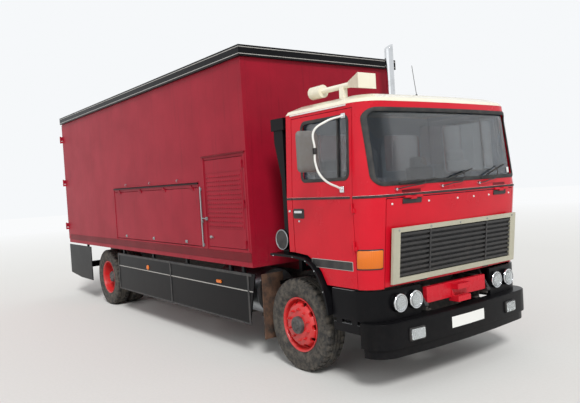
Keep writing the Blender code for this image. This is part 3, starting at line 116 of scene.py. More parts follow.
def within(tree, place, low, high):
    """1 between two corners of a box whose sides mirror across the truck."""
    axes = add(tree, "SeparateXYZ", {0: place}).outputs
    out = add(tree, "Math", {0: axes[1]}, operation="ABSOLUTE").outputs[0]
    share = None
    for axis, least, most in zip((axes[0], out, axes[2]), low, high):
        for edge, test in ((least, "GREATER_THAN"), (most, "LESS_THAN")):
            side = add(tree, "Math", {0: axis, 1: edge}, operation=test).outputs[0]
            share = side if share is None else add(tree, "Math", {0: share, 1: side},
                                                   operation="MULTIPLY").outputs[0]
    return share


def cab_lining(tree, place):
    """1 on the inner skin of the cab, which follows the cab's rake, tuck and corners."""
    axes = add(tree, "SeparateXYZ", {0: place}).outputs
    rake = add(tree, "MapRange", {"Value": axes[2], "From Min": CAB_WAIST,
                                  "From Max": CAB_TOP}).outputs[0]
    tuck = add(tree, "MapRange", {"Value": axes[2], "From Min": CAB_WAIST,
                                  "From Max": CAB_FOOT}).outputs[0]
    lean = add(tree, "Math", {0: rake, 1: RAKE, 2: -fore(CAB_NOSE - BOW - CORNER)},
               operation="MULTIPLY_ADD").outputs[0]
    lean = add(tree, "Math", {0: tuck, 1: TUCK, 2: lean}, operation="MULTIPLY_ADD").outputs[0]
    ahead = add(tree, "Math", {0: axes[0], 1: lean}, operation="ADD").outputs[0]
    wide = add(tree, "Math", {0: rake, 1: LEAN_IN, 2: CORNER - CAB_HALF},
               operation="MULTIPLY_ADD").outputs[0]
    out = add(tree, "Math", {0: add(tree, "Math", {0: axes[1]}, operation="ABSOLUTE").outputs[0],
                             1: wide}, operation="ADD").outputs[0]
    ahead = add(tree, "Math", {0: ahead, 1: 0.0}, operation="MAXIMUM").outputs[0]
    out = add(tree, "Math", {0: out, 1: 0.0}, operation="MAXIMUM").outputs[0]
    reach = add(tree, "VectorMath", {0: add(tree, "CombineXYZ", {0: ahead, 1: out}).outputs[0]},
                operation="LENGTH").outputs["Value"]
    # the inner skin's corner is 35 mm inside the outer one
    inner = add(tree, "Math", {0: reach, 1: CORNER - 0.035}, operation="LESS_THAN").outputs[0]
    room = within(tree, place, (fore(0.045), -1.0, 1.03), (fore(1.4), 1.3, 2.9))
    return add(tree, "Math", {0: inner, 1: room}, operation="MULTIPLY").outputs[0]


def box_lining(tree, place):
    """1 inside the load space, where the panels are bare plywood."""
    return within(tree, place, (-4.437, -1.0, 1.145), (2.452, 1.195, 3.65))


def bumper_plate(tree, place):
    """1 on the blank plate painted in the middle of the bumper."""
    return within(tree, place, (4.50, -1.0, 0.520), (4.56, 0.260, 0.631))


def tilt_lugs(tree, place):
    """1 on the floor's lugs under the cab, which are chassis black."""
    return within(tree, place, (3.0, -1.0, 0.5), (4.6, 1.3, 1.035))


def grille_slats(tree, place):
    """1 on the slats, which are black inside the beige frame."""
    return within(tree, place, (4.0, -1.0, 1.101), (4.6, 0.879, 1.529))


def enamel(name, code, shade, rough=0.28, coat=0.5, dust="7C7268", dirt=0.35, dirt_top=1.1,
           streaks=0.25, speckle=0.15, lining=None, lining_code=None, tone=0.35, spec=0.5):
    """Sprayed coach enamel: even gloss, slow fading, rain streaks, road dust low down."""
    finish, tree, place = new_finish(name)
    cloud = add(tree, "TexNoise", {"Vector": place, "Scale": 1.7, "Detail": 6.0,
                                   "Roughness": 0.62}).outputs[0]
    fade = add(tree, "MapRange", {"Value": cloud, "From Min": 0.35, "From Max": 0.7,
                                  "To Min": 0.0, "To Max": tone}).outputs[0]
    base = add(tree, "Mix", {0: fade, 6: colour(code), 7: colour(shade)},
               data_type="RGBA").outputs[2]
    # rain streaks: noise squeezed to about 25 mm across and a metre down
    run = add(tree, "Mapping", {"Vector": place, "Scale": (22.0, 22.0, 0.9)}).outputs[0]
    rain = add(tree, "TexNoise", {"Vector": run, "Scale": 1.0, "Detail": 4.0,
                                  "Roughness": 0.7}).outputs[0]
    rain = add(tree, "MapRange", {"Value": rain, "From Min": 0.55, "From Max": 0.8,
                                  "To Min": 0.0, "To Max": streaks}).outputs[0]
    layers = [(rain, shade)]
    if lining is not None:
        layers.append((lining(tree, place), lining_code))
    # road dust, thickest by the wheels, broken up by a 60 mm noise
    low = add(tree, "SeparateXYZ", {0: place}).outputs[2]
    low = add(tree, "MapRange", {"Value": low, "From Min": dirt_top, "From Max": 0.25,
                                 "To Min": 0.0, "To Max": dirt}).outputs[0]
    grime = add(tree, "TexNoise", {"Vector": place, "Scale": 16.0, "Detail": 8.0,
                                   "Roughness": 0.7}).outputs[0]
    grime = add(tree, "MapRange", {"Value": grime, "From Min": 0.38, "From Max": 0.68}).outputs[0]
    dusty = add(tree, "Math", {0: low, 1: grime}, operation="MULTIPLY").outputs[0]
    # stone chips of 4 to 8 mm
    chip = add(tree, "TexVoronoi", {"Vector": place, "Scale": 60.0, "Randomness": 1.0}).outputs[0]
    chip = add(tree, "Math", {0: chip, 1: 0.11}, operation="LESS_THAN").outputs[0]
    chip = add(tree, "Math", {0: chip, 1: add(tree, "Math", {0: grime, 1: speckle},
                                              operation="MULTIPLY").outputs[0]},
               operation="MULTIPLY").outputs[0]
    for share, code in layers + [(dusty, dust), (chip, dust)]:
        base = add(tree, "Mix", {0: share, 6: base, 7: colour(code)}, data_type="RGBA").outputs[2]
    gloss = add(tree, "Math", {0: dusty, 1: 0.6, 2: rough}, operation="MULTIPLY_ADD").outputs[0]
    gloss = add(tree, "Math", {0: fade, 1: 0.15, 2: gloss}, operation="MULTIPLY_ADD").outputs[0]
    # orange peel of 5 mm in the sprayed coat, and pressings that are never quite flat
    peel = add(tree, "TexNoise", {"Vector": place, "Scale": 210.0, "Detail": 2.0}).outputs[0]
    wave = add(tree, "TexNoise", {"Vector": place, "Scale": 2.6, "Detail": 1.0}).outputs[0]
    edge = add(tree, "Bevel", {"Radius": 0.004}, samples=4).outputs[0]
    skin = add(tree, "Bump", {"Height": peel, "Strength": 0.03, "Distance": 0.002,
                              "Normal": edge}).outputs[0]
    skin = add(tree, "Bump", {"Height": wave, "Strength": 0.12, "Distance": 0.012,
                              "Normal": skin}).outputs[0]
    close_finish(tree, {"Base Color": base, "Roughness": gloss, "Normal": skin,
                        "Coat Weight": coat, "Coat Roughness": 0.12,
                        "Specular IOR Level": spec})
    return finish


def metal(name, code, rough, grain, stain="5A544C", stains=0.4):
    """Bare metal: drawn or polished grain with dull stains between.

    The grain is given in lines a metre along each axis; 90 is 11 mm, coarser than real so
    that it shows.
    """
    finish, tree, place = new_finish(name)
    brushed = add(tree, "Mapping", {"Vector": place, "Scale": grain}).outputs[0]
    lines = add(tree, "TexNoise", {"Vector": brushed, "Scale": 1.0, "Detail": 4.0}).outputs[0]
    blot = add(tree, "TexNoise", {"Vector": place, "Scale": 7.0, "Detail": 7.0,
                                  "Roughness": 0.68}).outputs[0]
    blot = add(tree, "MapRange", {"Value": blot, "From Min": 0.52, "From Max": 0.75,
                                  "To Min": 0.0, "To Max": stains}).outputs[0]
    base = add(tree, "Mix", {0: blot, 6: colour(code), 7: colour(stain)},
               data_type="RGBA").outputs[2]
    gloss = add(tree, "MapRange", {"Value": lines, "To Min": rough * 0.7,
                                   "To Max": rough * 1.4}).outputs[0]
    gloss = add(tree, "Math", {0: blot, 1: 0.5, 2: gloss}, operation="MULTIPLY_ADD").outputs[0]
    edge = add(tree, "Bevel", {"Radius": 0.002}, samples=4).outputs[0]
    skin = add(tree, "Bump", {"Height": lines, "Strength": 0.08, "Distance": 0.001,
                              "Normal": edge}).outputs[0]
    close_finish(tree, {"Base Color": base, "Roughness": gloss, "Normal": skin, "Metallic": 1.0})
    return finish


def moulded(name, code, shade, rough, scale=900.0, dirt=0.3, dust="8B8378", spread=9.0,
            bump=0.25):
    """Moulded rubber or plastic: fine pebbled grain, dull patches and dust in them.

    A scale of 900 is a grain of 1.1 mm, where the real one is about 0.3 mm and would not show.
    """
    finish, tree, place = new_finish(name)
    cloud = add(tree, "TexNoise", {"Vector": place, "Scale": spread, "Detail": 8.0,
                                   "Roughness": 0.66}).outputs[0]
    patch = add(tree, "MapRange", {"Value": cloud, "From Min": 0.35, "From Max": 0.7}).outputs[0]
    base = add(tree, "Mix", {0: patch, 6: colour(code), 7: colour(shade)},
               data_type="RGBA").outputs[2]
    dusty = add(tree, "MapRange", {"Value": cloud, "From Min": 0.42, "From Max": 0.66,
                                   "To Min": 0.0, "To Max": dirt}).outputs[0]
    base = add(tree, "Mix", {0: dusty, 6: base, 7: colour(dust)}, data_type="RGBA").outputs[2]
    grain = add(tree, "TexVoronoi", {"Vector": place, "Scale": scale}).outputs[0]
    edge = add(tree, "Bevel", {"Radius": 0.003}, samples=4).outputs[0]
    skin = add(tree, "Bump", {"Height": grain, "Strength": bump, "Distance": 0.0008,
                              "Normal": edge}).outputs[0]
    gloss = add(tree, "Math", {0: patch, 1: 0.12, 2: rough}, operation="MULTIPLY_ADD").outputs[0]
    close_finish(tree, {"Base Color": base, "Roughness": gloss, "Normal": skin})
    return finish


def lens(name, code, clear=0.85, ribs=150.0, rough=0.08, alpha=1.0):
    """Pressed glass or acrylic: clear, with upright flutes of about 7 mm."""
    finish, tree, place = new_finish(name)
    flutes = add(tree, "TexWave", {"Vector": place, "Scale": ribs / 6.283, "Distortion": 0.4},
                 bands_direction="Y").outputs[1]
    film = add(tree, "TexNoise", {"Vector": place, "Scale": 14.0, "Detail": 6.0}).outputs[0]
    gloss = add(tree, "MapRange", {"Value": film, "From Min": 0.4, "From Max": 0.75,
                                   "To Min": rough, "To Max": rough + 0.12}).outputs[0]
    skin = add(tree, "Bump", {"Height": flutes, "Strength": 0.35 if ribs else 0.0,
                              "Distance": 0.002}).outputs[0]
    close_finish(tree, {"Base Color": colour(code), "Roughness": gloss, "Normal": skin,
                        "Transmission Weight": clear, "IOR": 1.49, "Alpha": alpha})
    return finish


def woven(name, code, shade, threads=260.0):
    """Woven seat cloth: crossing threads drawn at about 4 mm, coarser than the real 1 mm."""
    finish, tree, place = new_finish(name)
    warp = add(tree, "TexWave", {"Vector": place, "Scale": threads / 6.283,
                                 "Distortion": 1.0}, bands_direction="Y").outputs[1]
    weft = add(tree, "TexWave", {"Vector": place, "Scale": threads / 6.283,
                                 "Distortion": 1.0}, bands_direction="Z").outputs[1]
    cross = add(tree, "Math", {0: warp, 1: weft}, operation="MULTIPLY").outputs[0]
    worn = add(tree, "TexNoise", {"Vector": place, "Scale": 5.0, "Detail": 6.0}).outputs[0]
    base = add(tree, "Mix", {0: worn, 6: colour(code), 7: colour(shade)},
               data_type="RGBA").outputs[2]
    skin = add(tree, "Bump", {"Height": cross, "Strength": 0.5, "Distance": 0.001}).outputs[0]
    close_finish(tree, {"Base Color": base, "Roughness": 0.92, "Normal": skin,
                        "Sheen Weight": 0.3})
    return finish


FINISH = {
    # sprayed enamel on pressed steel: bright, even gloss with few streaks
    "cab_red": enamel("cab_enamel", "C91226", "9C0E1E", rough=0.24, coat=0.08, dirt=0.2,
                      spec=0.2, streaks=0.12, lining=cab_lining, lining_code="8FA8C4"),
    # older enamel on flat sheet: duller and cloudy, with long rain streaks
    "box_red": enamel("body_enamel", "981228", "5E0A18", rough=0.42, coat=0.0, dirt=0.2,
                      spec=0.16, dirt_top=1.6, streaks=0.55, speckle=0.3, lining=box_lining,
                      lining_code="9C7B52", tone=0.32),
    # brushed enamel on a steel wheel: bright, chipped and dusty
    "wheel_red": enamel("wheel_enamel", "CC1C20", "981418", rough=0.28, coat=0.2, dirt=0.25,
                        dirt_top=1.4),
    # pale roof enamel: clean gloss with brown weather marks
    "cream": enamel("roof_enamel", "E8E2CE", "CDBF9C", rough=0.25, dirt=0.1, streaks=0.35,
                    dust="7A5A3A"),
    # gloss black enamel: nearly black, light only where it turns away
    "black_paint": enamel("gloss_black_enamel", "0B0B0D", "151518", rough=0.3, coat=0.02,
                          dirt=0.03, dirt_top=0.9, streaks=0.2, speckle=0.05, spec=0.1,
                          lining=bumper_plate, lining_code="E4E4E0"),
    # brushed chassis enamel: matt, caked with road dust
    "chassis_black": enamel("chassis_enamel", "1E1E20", "34302C", rough=0.55, coat=0.0,
                            dirt=0.75, dirt_top=1.6, speckle=0.5),
    # enamel inside the cab: a soft satin, dark on the lugs below the floor
    "interior_blue": enamel("cab_floor_enamel", "8FA8C4", "6F86A2", rough=0.45, coat=0.1,
                            dirt=0.4, dirt_top=1.15, dust="3A3632", lining=tilt_lugs,
                            lining_code="202022"),
    # enamel on tube: clean satin white
    "white_paint": enamel("arm_enamel", "E9E9E4", "CFCDC4", rough=0.35, dirt=0.1),
    # stoved enamel on a pressed grille: grey-beige satin round black slats
    "grille_beige": enamel("grille_enamel", "B2AE9A", "88836F", rough=0.4, coat=0.05, dirt=0.3,
                           dirt_top=2.0, lining=grille_slats, lining_code="1A1A1C"),
    # sand-cast iron: dull, with a coarse grain of 2.4 mm
    "cast_iron": moulded("cast_iron", "45423F", "2E2B28", 0.75, scale=420.0, bump=0.6),
    # rolled aluminium: a soft sheen drawn out along the tank
    "tank_aluminium": metal("rolled_aluminium", "B4B8BC", 0.34, (4.0, 90.0, 90.0)),
    # polished steel tube: sharp reflections in upright lines
    "bright_steel": metal("polished_steel", "D4D6D8", 0.09, (90.0, 90.0, 3.0), stains=0.25),
    # vulcanised rubber: matt black, browned by dry mud
    "tyre_rubber": moulded("tyre_rubber", "262524", "3A3733", 0.82, scale=260.0, dirt=0.55,
                           dust="6E665B", spread=14.0),
    # woven seat cloth: dark and soft, with no gloss
    "seat_fabric": woven("seat_cloth", "24262D", "3A3E49"),
    # float glass: a light tint, darkened further to paint the shade inside the cab, with a clean
    # reflection
    "glass": lens("shade_darkened_window_glass", "465056", clear=1.0, ribs=0.0, rough=0.02, alpha=0.6),
}
# extruded rubber and injection-moulded plastics: dull blacks and a sun-bleached grey
RUBBER = moulded("seal_rubber", "121214", "1E1E20", 0.6, dirt=0.12)
PLASTIC = moulded("moulded_black_plastic", "151517", "202022", 0.48, scale=700.0, dirt=0.12)
GREY_PLASTIC = moulded("weathered_grey_plastic", "6E6C6A", "4A4846", 0.55, scale=700.0)
MUD_RUBBER = moulded("mud_flap_rubber", "2B2724", "5A3A26", 0.85, dirt=0.7, dust="6B5140")
# plated and bare metals: a mirror, a dull grey with brown spots, and a scuffed pale sheet
CHROME = metal("chrome_plate", "DADCDE", 0.07, (60.0, 60.0, 60.0), stains=0.2)
ZINC = metal("zinc_plated_steel", "9FA3A5", 0.38, (40.0, 40.0, 40.0), stain="6A5138")
ALUMINIUM = metal("worn_chequer_aluminium", "B9BCBE", 0.3, (30.0, 30.0, 30.0), stains=0.6)
# pressed lamp glass and acrylic: sparkling flutes, clear or coloured through
CLEAR_LENS = lens("fluted_lamp_glass", "F2F5F5")
AMBER = lens("amber_acrylic", "F07A12", clear=0.25, rough=0.18)
RED_LENS = lens("red_acrylic", "B81414", clear=0.25, rough=0.18)
# thin enamels on trim: satin, with a little fading
WHITE_SHEET = enamel("blank_plate_enamel", "E6E6E2", "C8C6BE", rough=0.4, coat=0.1)
GREY_LINE = enamel("grey_moulding_enamel", "A9A7A2", "85827C", rough=0.4, coat=0.1)
# the dark red is paint on the moulding and gutter, and a painted shade in the cab's vent slots
DARK_RED = enamel("rail_enamel_and_slot_shade", "6E0F1A", "430A12", rough=0.45, coat=0.0, streaks=0.5,
                  spec=0.16)
HUB_GREY = enamel("hub_enamel", "3A3B3D", "26262A", rough=0.5, coat=0.0, dirt=0.6, dirt_top=1.6)
# printed cotton: pale, soft and crumpled
PALE_COTTON = woven("pale_cotton", "D9DCE4", "B7A9B4")


# Making pieces

def finished(name, form, finish, body, soften=0.0, flat=False):
    """A bmesh made a piece that rides on its body."""
    bmesh.ops.remove_doubles(form, verts=form.verts, dist=1e-6)
    bmesh.ops.recalc_face_normals(form, faces=form.faces)
    mesh = bpy.data.meshes.new(name)
    form.to_mesh(mesh)
    form.free()
    mesh.materials.append(finish)
    item = bpy.data.objects.new(name, mesh)
    bpy.context.scene.collection.objects.link(item)
    if not flat:
        mesh.shade_smooth()
        mesh.set_sharp_from_angle(angle=CREASE)
    if soften:
        bevel = item.modifiers.new("softened_edges", "BEVEL")
        bevel.width, bevel.segments, bevel.limit_method = soften, 2, "ANGLE"
        bevel.angle_limit = CREASE
    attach(item, body)
    return item


def piece(name, finish, body, *steps, node_slot=None, soften=0.0, flat=False):
    """A piece built by a row of steps, each a maker with its details."""
    form = bmesh.new()
    for maker, *details in steps:
        maker(form, *details)
    return finished(name, form, finish, body, soften, flat)


def add_block(form, low, high):
    """A box between two corners."""
    low, high = Vector(low), Vector(high)
    for k in range(3):
        if low[k] > high[k]:
            low[k], high[k] = high[k], low[k]
    place = Matrix.Translation((low + high) / 2) @ Matrix.Diagonal((*(high - low), 1))
    bmesh.ops.create_cube(form, size=1, matrix=place)


def add_rod(form, start, end, radius, tip=None, sides_round=16):
    """A round bar, or a cone where tip gives its second radius."""
    start, end = Vector(start), Vector(end)
    turn = (end - start).to_track_quat("Z", "Y").to_matrix().to_4x4()
    place = Matrix.Translation((start + end) / 2) @ turn
    bmesh.ops.create_cone(form, cap_ends=True, segments=sides_round, radius1=radius,
                          radius2=radius if tip is None else tip,
                          depth=(end - start).length, matrix=place)


def add_turned(form, profile, centre, side, steps=STEPS, ahead=False):
    """A profile of (radius, outboard) points turned about a cross-wise or a fore-and-aft axis."""
    axis = Vector((1, 0, 0)) if ahead else Vector((0, 1, 0))
    verts = [form.verts.new(Vector(centre) + axis * side * out + Vector((0, 0, r)))
             for r, out in profile]
    edges = [form.edges.new(pair) for pair in zip(verts, verts[1:])]
    bmesh.ops.spin(form, geom=verts + edges, cent=centre, axis=axis, steps=steps,
                   angle=math.tau, use_merge=True)


def add_sweep(form, stations, closed=False):
    """Skins a row of sections, each with the same number of points."""
    rings = [[form.verts.new(p) for p in station] for station in stations]
    if closed:
        rings.append(rings[0])
    for near, far in zip(rings, rings[1:]):
        for k in range(len(near)):
            form.faces.new((near[k - 1], near[k], far[k], far[k - 1]))
    if not closed:
        form.faces.new(rings[0])
        form.faces.new(list(reversed(rings[-1])))


def add_plate(form, axis, outline, *depths):
    """An outline carried along x or y; a depth may bring the share by which the outline shrinks."""
    mid_a, mid_b = ((min(line) + max(line)) / 2 for line in zip(*outline))
    stations = []
    for depth in depths:
        depth, shrink = depth if isinstance(depth, tuple) else (depth, 1.0)
        ring = [(mid_a + (a - mid_a) * shrink, mid_b + (b - mid_b) * shrink) for a, b in outline]
        stations.append([(depth, a, b) if axis == "x" else (a, depth, b) for a, b in ring])
    add_sweep(form, stations)


def tube(name, points, radius, finish, body, smooth=True, closed=False):
    """A bent rod along a route, made mesh."""
    line = bpy.data.curves.new(name, "CURVE")
    line.dimensions, line.bevel_depth, line.bevel_resolution = "3D", radius, 3
    line.use_fill_caps = not closed
    spline = line.splines.new("BEZIER" if smooth else "POLY")
    knots = spline.bezier_points if smooth else spline.points
    knots.add(len(points) - 1)
    for knot, point in zip(knots, points):
        knot.co = point if smooth else (*point, 1)
        if smooth:
            knot.handle_left_type = knot.handle_right_type = "AUTO"
    spline.use_cyclic_u = closed
    draft = bpy.data.objects.new(name + "_line", line)
    bpy.context.scene.collection.objects.link(draft)
    graph = bpy.context.evaluated_depsgraph_get()
    form = bmesh.new()
    mesh = bpy.data.meshes.new_from_object(draft.evaluated_get(graph))
    form.from_mesh(mesh)
    bpy.data.objects.remove(draft)
    bpy.data.meshes.remove(mesh)
    return finished(name, form, finish, body)


def rounded(low_a, low_b, high_a, high_b, corner, steps=6):
    """The outline of a rectangle with round corners, as (a, b) points."""
    low_a, high_a = sorted((low_a, high_a))
    centres = ((high_a - corner, high_b - corner), (low_a + corner, high_b - corner),
               (low_a + corner, low_b + corner), (high_a - corner, low_b + corner))
    points = []
    for quarter, (a, b) in enumerate(centres):
        for step in range(steps + 1):
            angle = math.pi / 2 * (quarter + step / steps)
            points.append((a + corner * math.cos(angle), b + corner * math.sin(angle)))
    return points


def refined(points, longest=0.06):
    """The same outline with no side longer than that."""
    result = []
    for k, (a, b) in enumerate(points):
        after = points[(k + 1) % len(points)]
        count = max(1, math.ceil(math.dist((a, b), after) / longest))
        result += [(a + (after[0] - a) * n / count, b + (after[1] - b) * n / count)
                   for n in range(count)]
    return result


def cab_level(z):
    """(half width, front) of the cab's outside at a height."""
    up = max(0.0, (z - CAB_WAIST) / (CAB_TOP - CAB_WAIST))
    down = max(0.0, (CAB_WAIST - z) / (CAB_WAIST - CAB_FOOT))
    return CAB_HALF - LEAN_IN * up, fore(CAB_NOSE - RAKE * up - TUCK * down)


def front_at(y, z):
    """World x of the cab's outside at that place."""
    half, front = cab_level(z)
    straight, across = half - CORNER, abs(y)
    if across <= straight / 2:
        return front - BOW * 0.25 * across / (straight / 2)
    if across <= straight:
        return front - BOW * (0.25 + 0.75 * (across / (straight / 2) - 1))
    rest = min(across - straight, CORNER)
    return front - BOW - CORNER + math.sqrt(CORNER ** 2 - rest ** 2)


def side_at(z):
    """Half the cab's width at a height."""
    return cab_level(z)[0]


def corner_point(side, z, angle, proud=0.0):
    """A point round the cab's front corner; angle 0 faces sideways and 90 forwards."""
    half, front = cab_level(z)
    reach = CORNER + proud
    return Vector((front - BOW - CORNER + reach * math.sin(angle),
                   side * (half - CORNER + reach * math.cos(angle)), z))


# The CAD nodes: their finish, joined triangles and smooth curves

def dress_nodes():
    """Each solid gets its slot's finish; only the steering wheel's rim is plastic."""
    slots = {part["node"]: part["material_slot"] for part in frame["record"]["subparts"]}
    for name, item in frame["nodes"].items():
        for place in item.material_slots:
            place.material = PLASTIC if name == "steering_wheel" else FINISH[slots[name]]
        item.data.polygons.foreach_set("use_smooth", [True] * len(item.data.polygons))
        weld = item.modifiers.new("joined", "WELD")
        weld.merge_threshold = 0.00002
        split = item.modifiers.new("creases", "EDGE_SPLIT")
        split.split_angle = math.radians(32)


# Tyres and wheels

TYRE_HALF = ((0.2861, 0.0947), (0.2988, 0.0947), (0.312, 0.104), (0.335, 0.1175),
             (0.360, 0.1245), (0.385, 0.127), (0.402, 0.1272), (0.404, 0.1262), (0.430, 0.1255),
             (0.455, 0.1215), (0.472, 0.1185), (0.474, 0.1195), (0.487, 0.115), (0.499, 0.106),
             (0.5045, 0.096), (0.505, 0.080), (0.505, 0.049), (0.494, 0.046), (0.494, 0.038),
             (0.505, 0.035), (0.505, 0.006), (0.495, 0.004))
LUG_DEPTH = 0.010
LUG_PITCH, LUG_GAP = 9.0, 3.0
TREAD_FROM, LUG_NEAR, LUG_FAR = 0.485, 0.05, 0.112


def tyre(name, centre, body):
    """A radial tyre with two ribs of tread, blocky shoulders and moulded sidewall rings."""
    form = bmesh.new()
    half = list(TYRE_HALF)
    add_turned(form, half + [(r, -out) for r, out in reversed(half)] + [half[0]], centre, 1, 120)
    bmesh.ops.remove_doubles(form, verts=form.verts, dist=1e-6)
    bmesh.ops.recalc_face_normals(form, faces=form.faces)
    lugs = []
    for face in form.faces:
        middle = face.calc_center_median() - Vector(centre)
        reach = math.hypot(middle.x, middle.z)
        turn = math.degrees(math.atan2(middle.z, middle.x)) % LUG_PITCH
        if reach > TREAD_FROM and turn < LUG_GAP and LUG_NEAR < abs(middle.y) < LUG_FAR:
            lugs.append(face)
    cut = bmesh.ops.extrude_face_region(form, geom=lugs)
    bmesh.ops.delete(form, geom=lugs, context="FACES")
    for vert in [g for g in cut["geom"] if isinstance(g, bmesh.types.BMVert)]:
        arm = Vector((vert.co.x - centre[0], 0, vert.co.z - centre[2]))
        vert.co -= arm.normalized() * LUG_DEPTH
    item = finished(f"{name}_tread", form, FINISH["tyre_rubber"], body)
    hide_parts(name)


FRONT_RIM = ((0.085, 0.112), (0.205, 0.108), (0.222, 0.100), (0.238, 0.080), (0.252, 0.050),
             (0.262, 0.032), (0.268, 0.040), (0.272, 0.066), (0.275, 0.088), (0.284, 0.101),
             (0.2935, 0.1048), (0.2983, 0.103), (0.2983, 0.0953), (0.2858, 0.0953),
             (0.2858, -0.095), (0.2985, -0.095), (0.2985, -0.105), (0.278, -0.105),
             (0.262, 0.010), (0.200, 0.090), (0.200, -0.078), (0.0356, -0.078),
             (0.0356, 0.048), (0.085, 0.048), (0.085, 0.112))
REAR_RIM = ((0.060, 0.018), (0.205, 0.018), (0.225, 0.030), (0.252, 0.066), (0.262, 0.092),
            (0.268, 0.160), (0.272, 0.225), (0.279, 0.249), (0.2925, 0.2598), (0.2983, 0.258),
            (0.2983, 0.2503), (0.2858, 0.2503), (0.2858, 0.060), (0.2985, 0.060),
            (0.2985, 0.050), (0.235, 0.000), (0.2985, -0.050), (0.2985, -0.060),
            (0.2858, -0.060), (0.2858, -0.250), (0.2985, -0.250), (0.2985, -0.260),
            (0.276, -0.260), (0.258, -0.085), (0.200, -0.050), (0.200, -0.215),
            (0.0632, -0.215), (0.0632, 0.000), (0.060, 0.000), (0.060, 0.018))


def bored(item, tool):
    """Cuts the tool out of a piece and takes the tool away."""
    cut = item.modifiers.new("holes", "BOOLEAN")
    cut.object, cut.solver = tool, "EXACT"
    graph = bpy.context.evaluated_depsgraph_get()
    mesh = bpy.data.meshes.new_from_object(item.evaluated_get(graph))
    item.modifiers.remove(cut)
    item.data = mesh
    bpy.data.objects.remove(tool)


def nuts(form, centre, side, out, radius, count, size, stud):
    """A ring of hexagon nuts on studs."""
    for k in range(count):
        turn = math.tau * (k + 0.5) / count
        x, z = centre[0] + radius * math.cos(turn), centre[2] + radius * math.sin(turn)
        y = centre[1] + side * out
        add_rod(form, (x, y - side * 0.004, z), (x, y + side * size, z), size, size * 0.93,
                sides_round=6)
        add_rod(form, (x, y, z), (x, y + side * stud, z), size * 0.52, sides_round=10)


STUDS, HAND_HOLES = 10, 10
NUT_RING = 0.1675


def wheel(name, body, side, centre, rim, hole_radius, disc, hub, nut_out):
    """A rim with its hand holes, nuts and hub; the front one shows the brake drum behind."""
    item = piece(f"{name}_rim", FINISH["wheel_red"], body, (add_turned, rim, centre, side),
                 node_slot="wheel_red")
    holes = bmesh.new()
    for k in range(HAND_HOLES):
        turn = math.tau * k / HAND_HOLES
        x = centre[0] + hole_radius * math.cos(turn)
        z = centre[2] + hole_radius * math.sin(turn)
        place = (Matrix.Translation((x, centre[1] + side * disc, z))
                 @ Matrix.Rotation(-turn, 4, "Y") @ Matrix.Rotation(math.pi / 2, 4, "X"))
        bmesh.ops.create_cone(holes, cap_ends=True, segments=20, radius1=0.024, radius2=0.024,
                              depth=0.16, matrix=place @ Matrix.Diagonal((0.83, 1.2, 1, 1)))
    mesh = bpy.data.meshes.new("holes")
    holes.to_mesh(mesh)
    holes.free()
    tool = bpy.data.objects.new("holes", mesh)
    bpy.context.scene.collection.objects.link(tool)
    bored(item, tool)
    item.data.set_sharp_from_angle(angle=CREASE)
    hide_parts(name)
    piece(f"{name}_nuts", FINISH["wheel_red"], body,
          (nuts, centre, side, nut_out, NUT_RING, STUDS, 0.0165, 0.036),
          node_slot="wheel_red", flat=True)
    cap_radius, cap_out = hub[-2]
    piece(f"{name}_hub", HUB_GREY, body, (add_turned, hub, centre, side, 48),
          (nuts, centre, side, cap_out, cap_radius * 0.82, 8, 0.0085, 0.012),
          node_slot="chassis_black")
    if rim is FRONT_RIM:
        piece(f"{name}_brake_drum", FINISH["chassis_black"], body,
              (add_turned, DRUM, centre, side, 48), node_slot="chassis_black")


DRUM = ((0.198, -0.070), (0.2575, -0.070), (0.2575, -0.030), (0.198, -0.030), (0.198, -0.070))
FRONT_HUB = ((0.0, 0.050), (0.094, 0.050), (0.0945, 0.128), (0.091, 0.150), (0.078, 0.158),
             (0.055, 0.160), (0.052, 0.1695), (0.0, 0.1700))
REAR_HUB = ((0.0, 0.010), (0.113, 0.010), (0.112, 0.140), (0.104, 0.168), (0.096, 0.196),
            (0.090, 0.204), (0.088, 0.211), (0.0, 0.2115))


def running_gear():
    """Single front wheels, and twin rear ones that turn as one body."""
    for word, side in sides():
        centre = (fore(0), side * FRONT_TRACK, TYRE_RADIUS)
        body = f"front_wheel_{word}"
        tyre(f"front_tyre_{word}", centre, body)
        wheel(f"front_wheel_{word}", body, side, centre, FRONT_RIM, 0.232, 0.09, FRONT_HUB, 0.110)
        centre = (fore(-WHEELBASE), side * REAR_TRACK, TYRE_RADIUS)
        body = f"rear_wheel_{word}"
        for twin, out in (("outer", TWIN), ("inner", -TWIN)):
            tyre(f"rear_tyre_{word}_{twin}", (centre[0], side * (REAR_TRACK + out), centre[2]),
                 body)
        wheel(f"rear_wheel_{word}", body, side, centre, REAR_RIM, 0.229, 0.035, REAR_HUB, 0.018)


# Cab trim

SCREEN = rounded(-1.095, 1.990, 1.095, 2.690, 0.09)
WINDOW = rounded(0.27, 2.060, 0.98, 2.660, 0.06)


def frame_round(name, outline, place, width, proud, finish, body, under=0.004):
    """A rubber profile along an outline; place(a, b, out) gives the surface point."""
    points = refined(outline)
    section = ((-width / 2, -under), (-width / 2, proud * 0.6), (-width / 4, proud),
               (width / 4, proud), (width / 2, proud * 0.6), (width / 2, -under))
    stations = []
    for k, (a, b) in enumerate(points):
        before, after = points[k - 1], points[(k + 1) % len(points)]
        run = Vector((after[0] - before[0], after[1] - before[1])).normalized()
        stations.append([place(a + run.y * step, b - run.x * step, out) for step, out in section])
    return piece(name, finish, body, (add_sweep, stations, True))


def flank_path(side, start, end, half):
    """Points and normals along one flank."""
    count = max(2, int(abs(end - start) / 0.1))
    return [(Vector((start + (end - start) * k / count, side * half, 0)), Vector((0, side, 0)))
            for k in range(count + 1)]


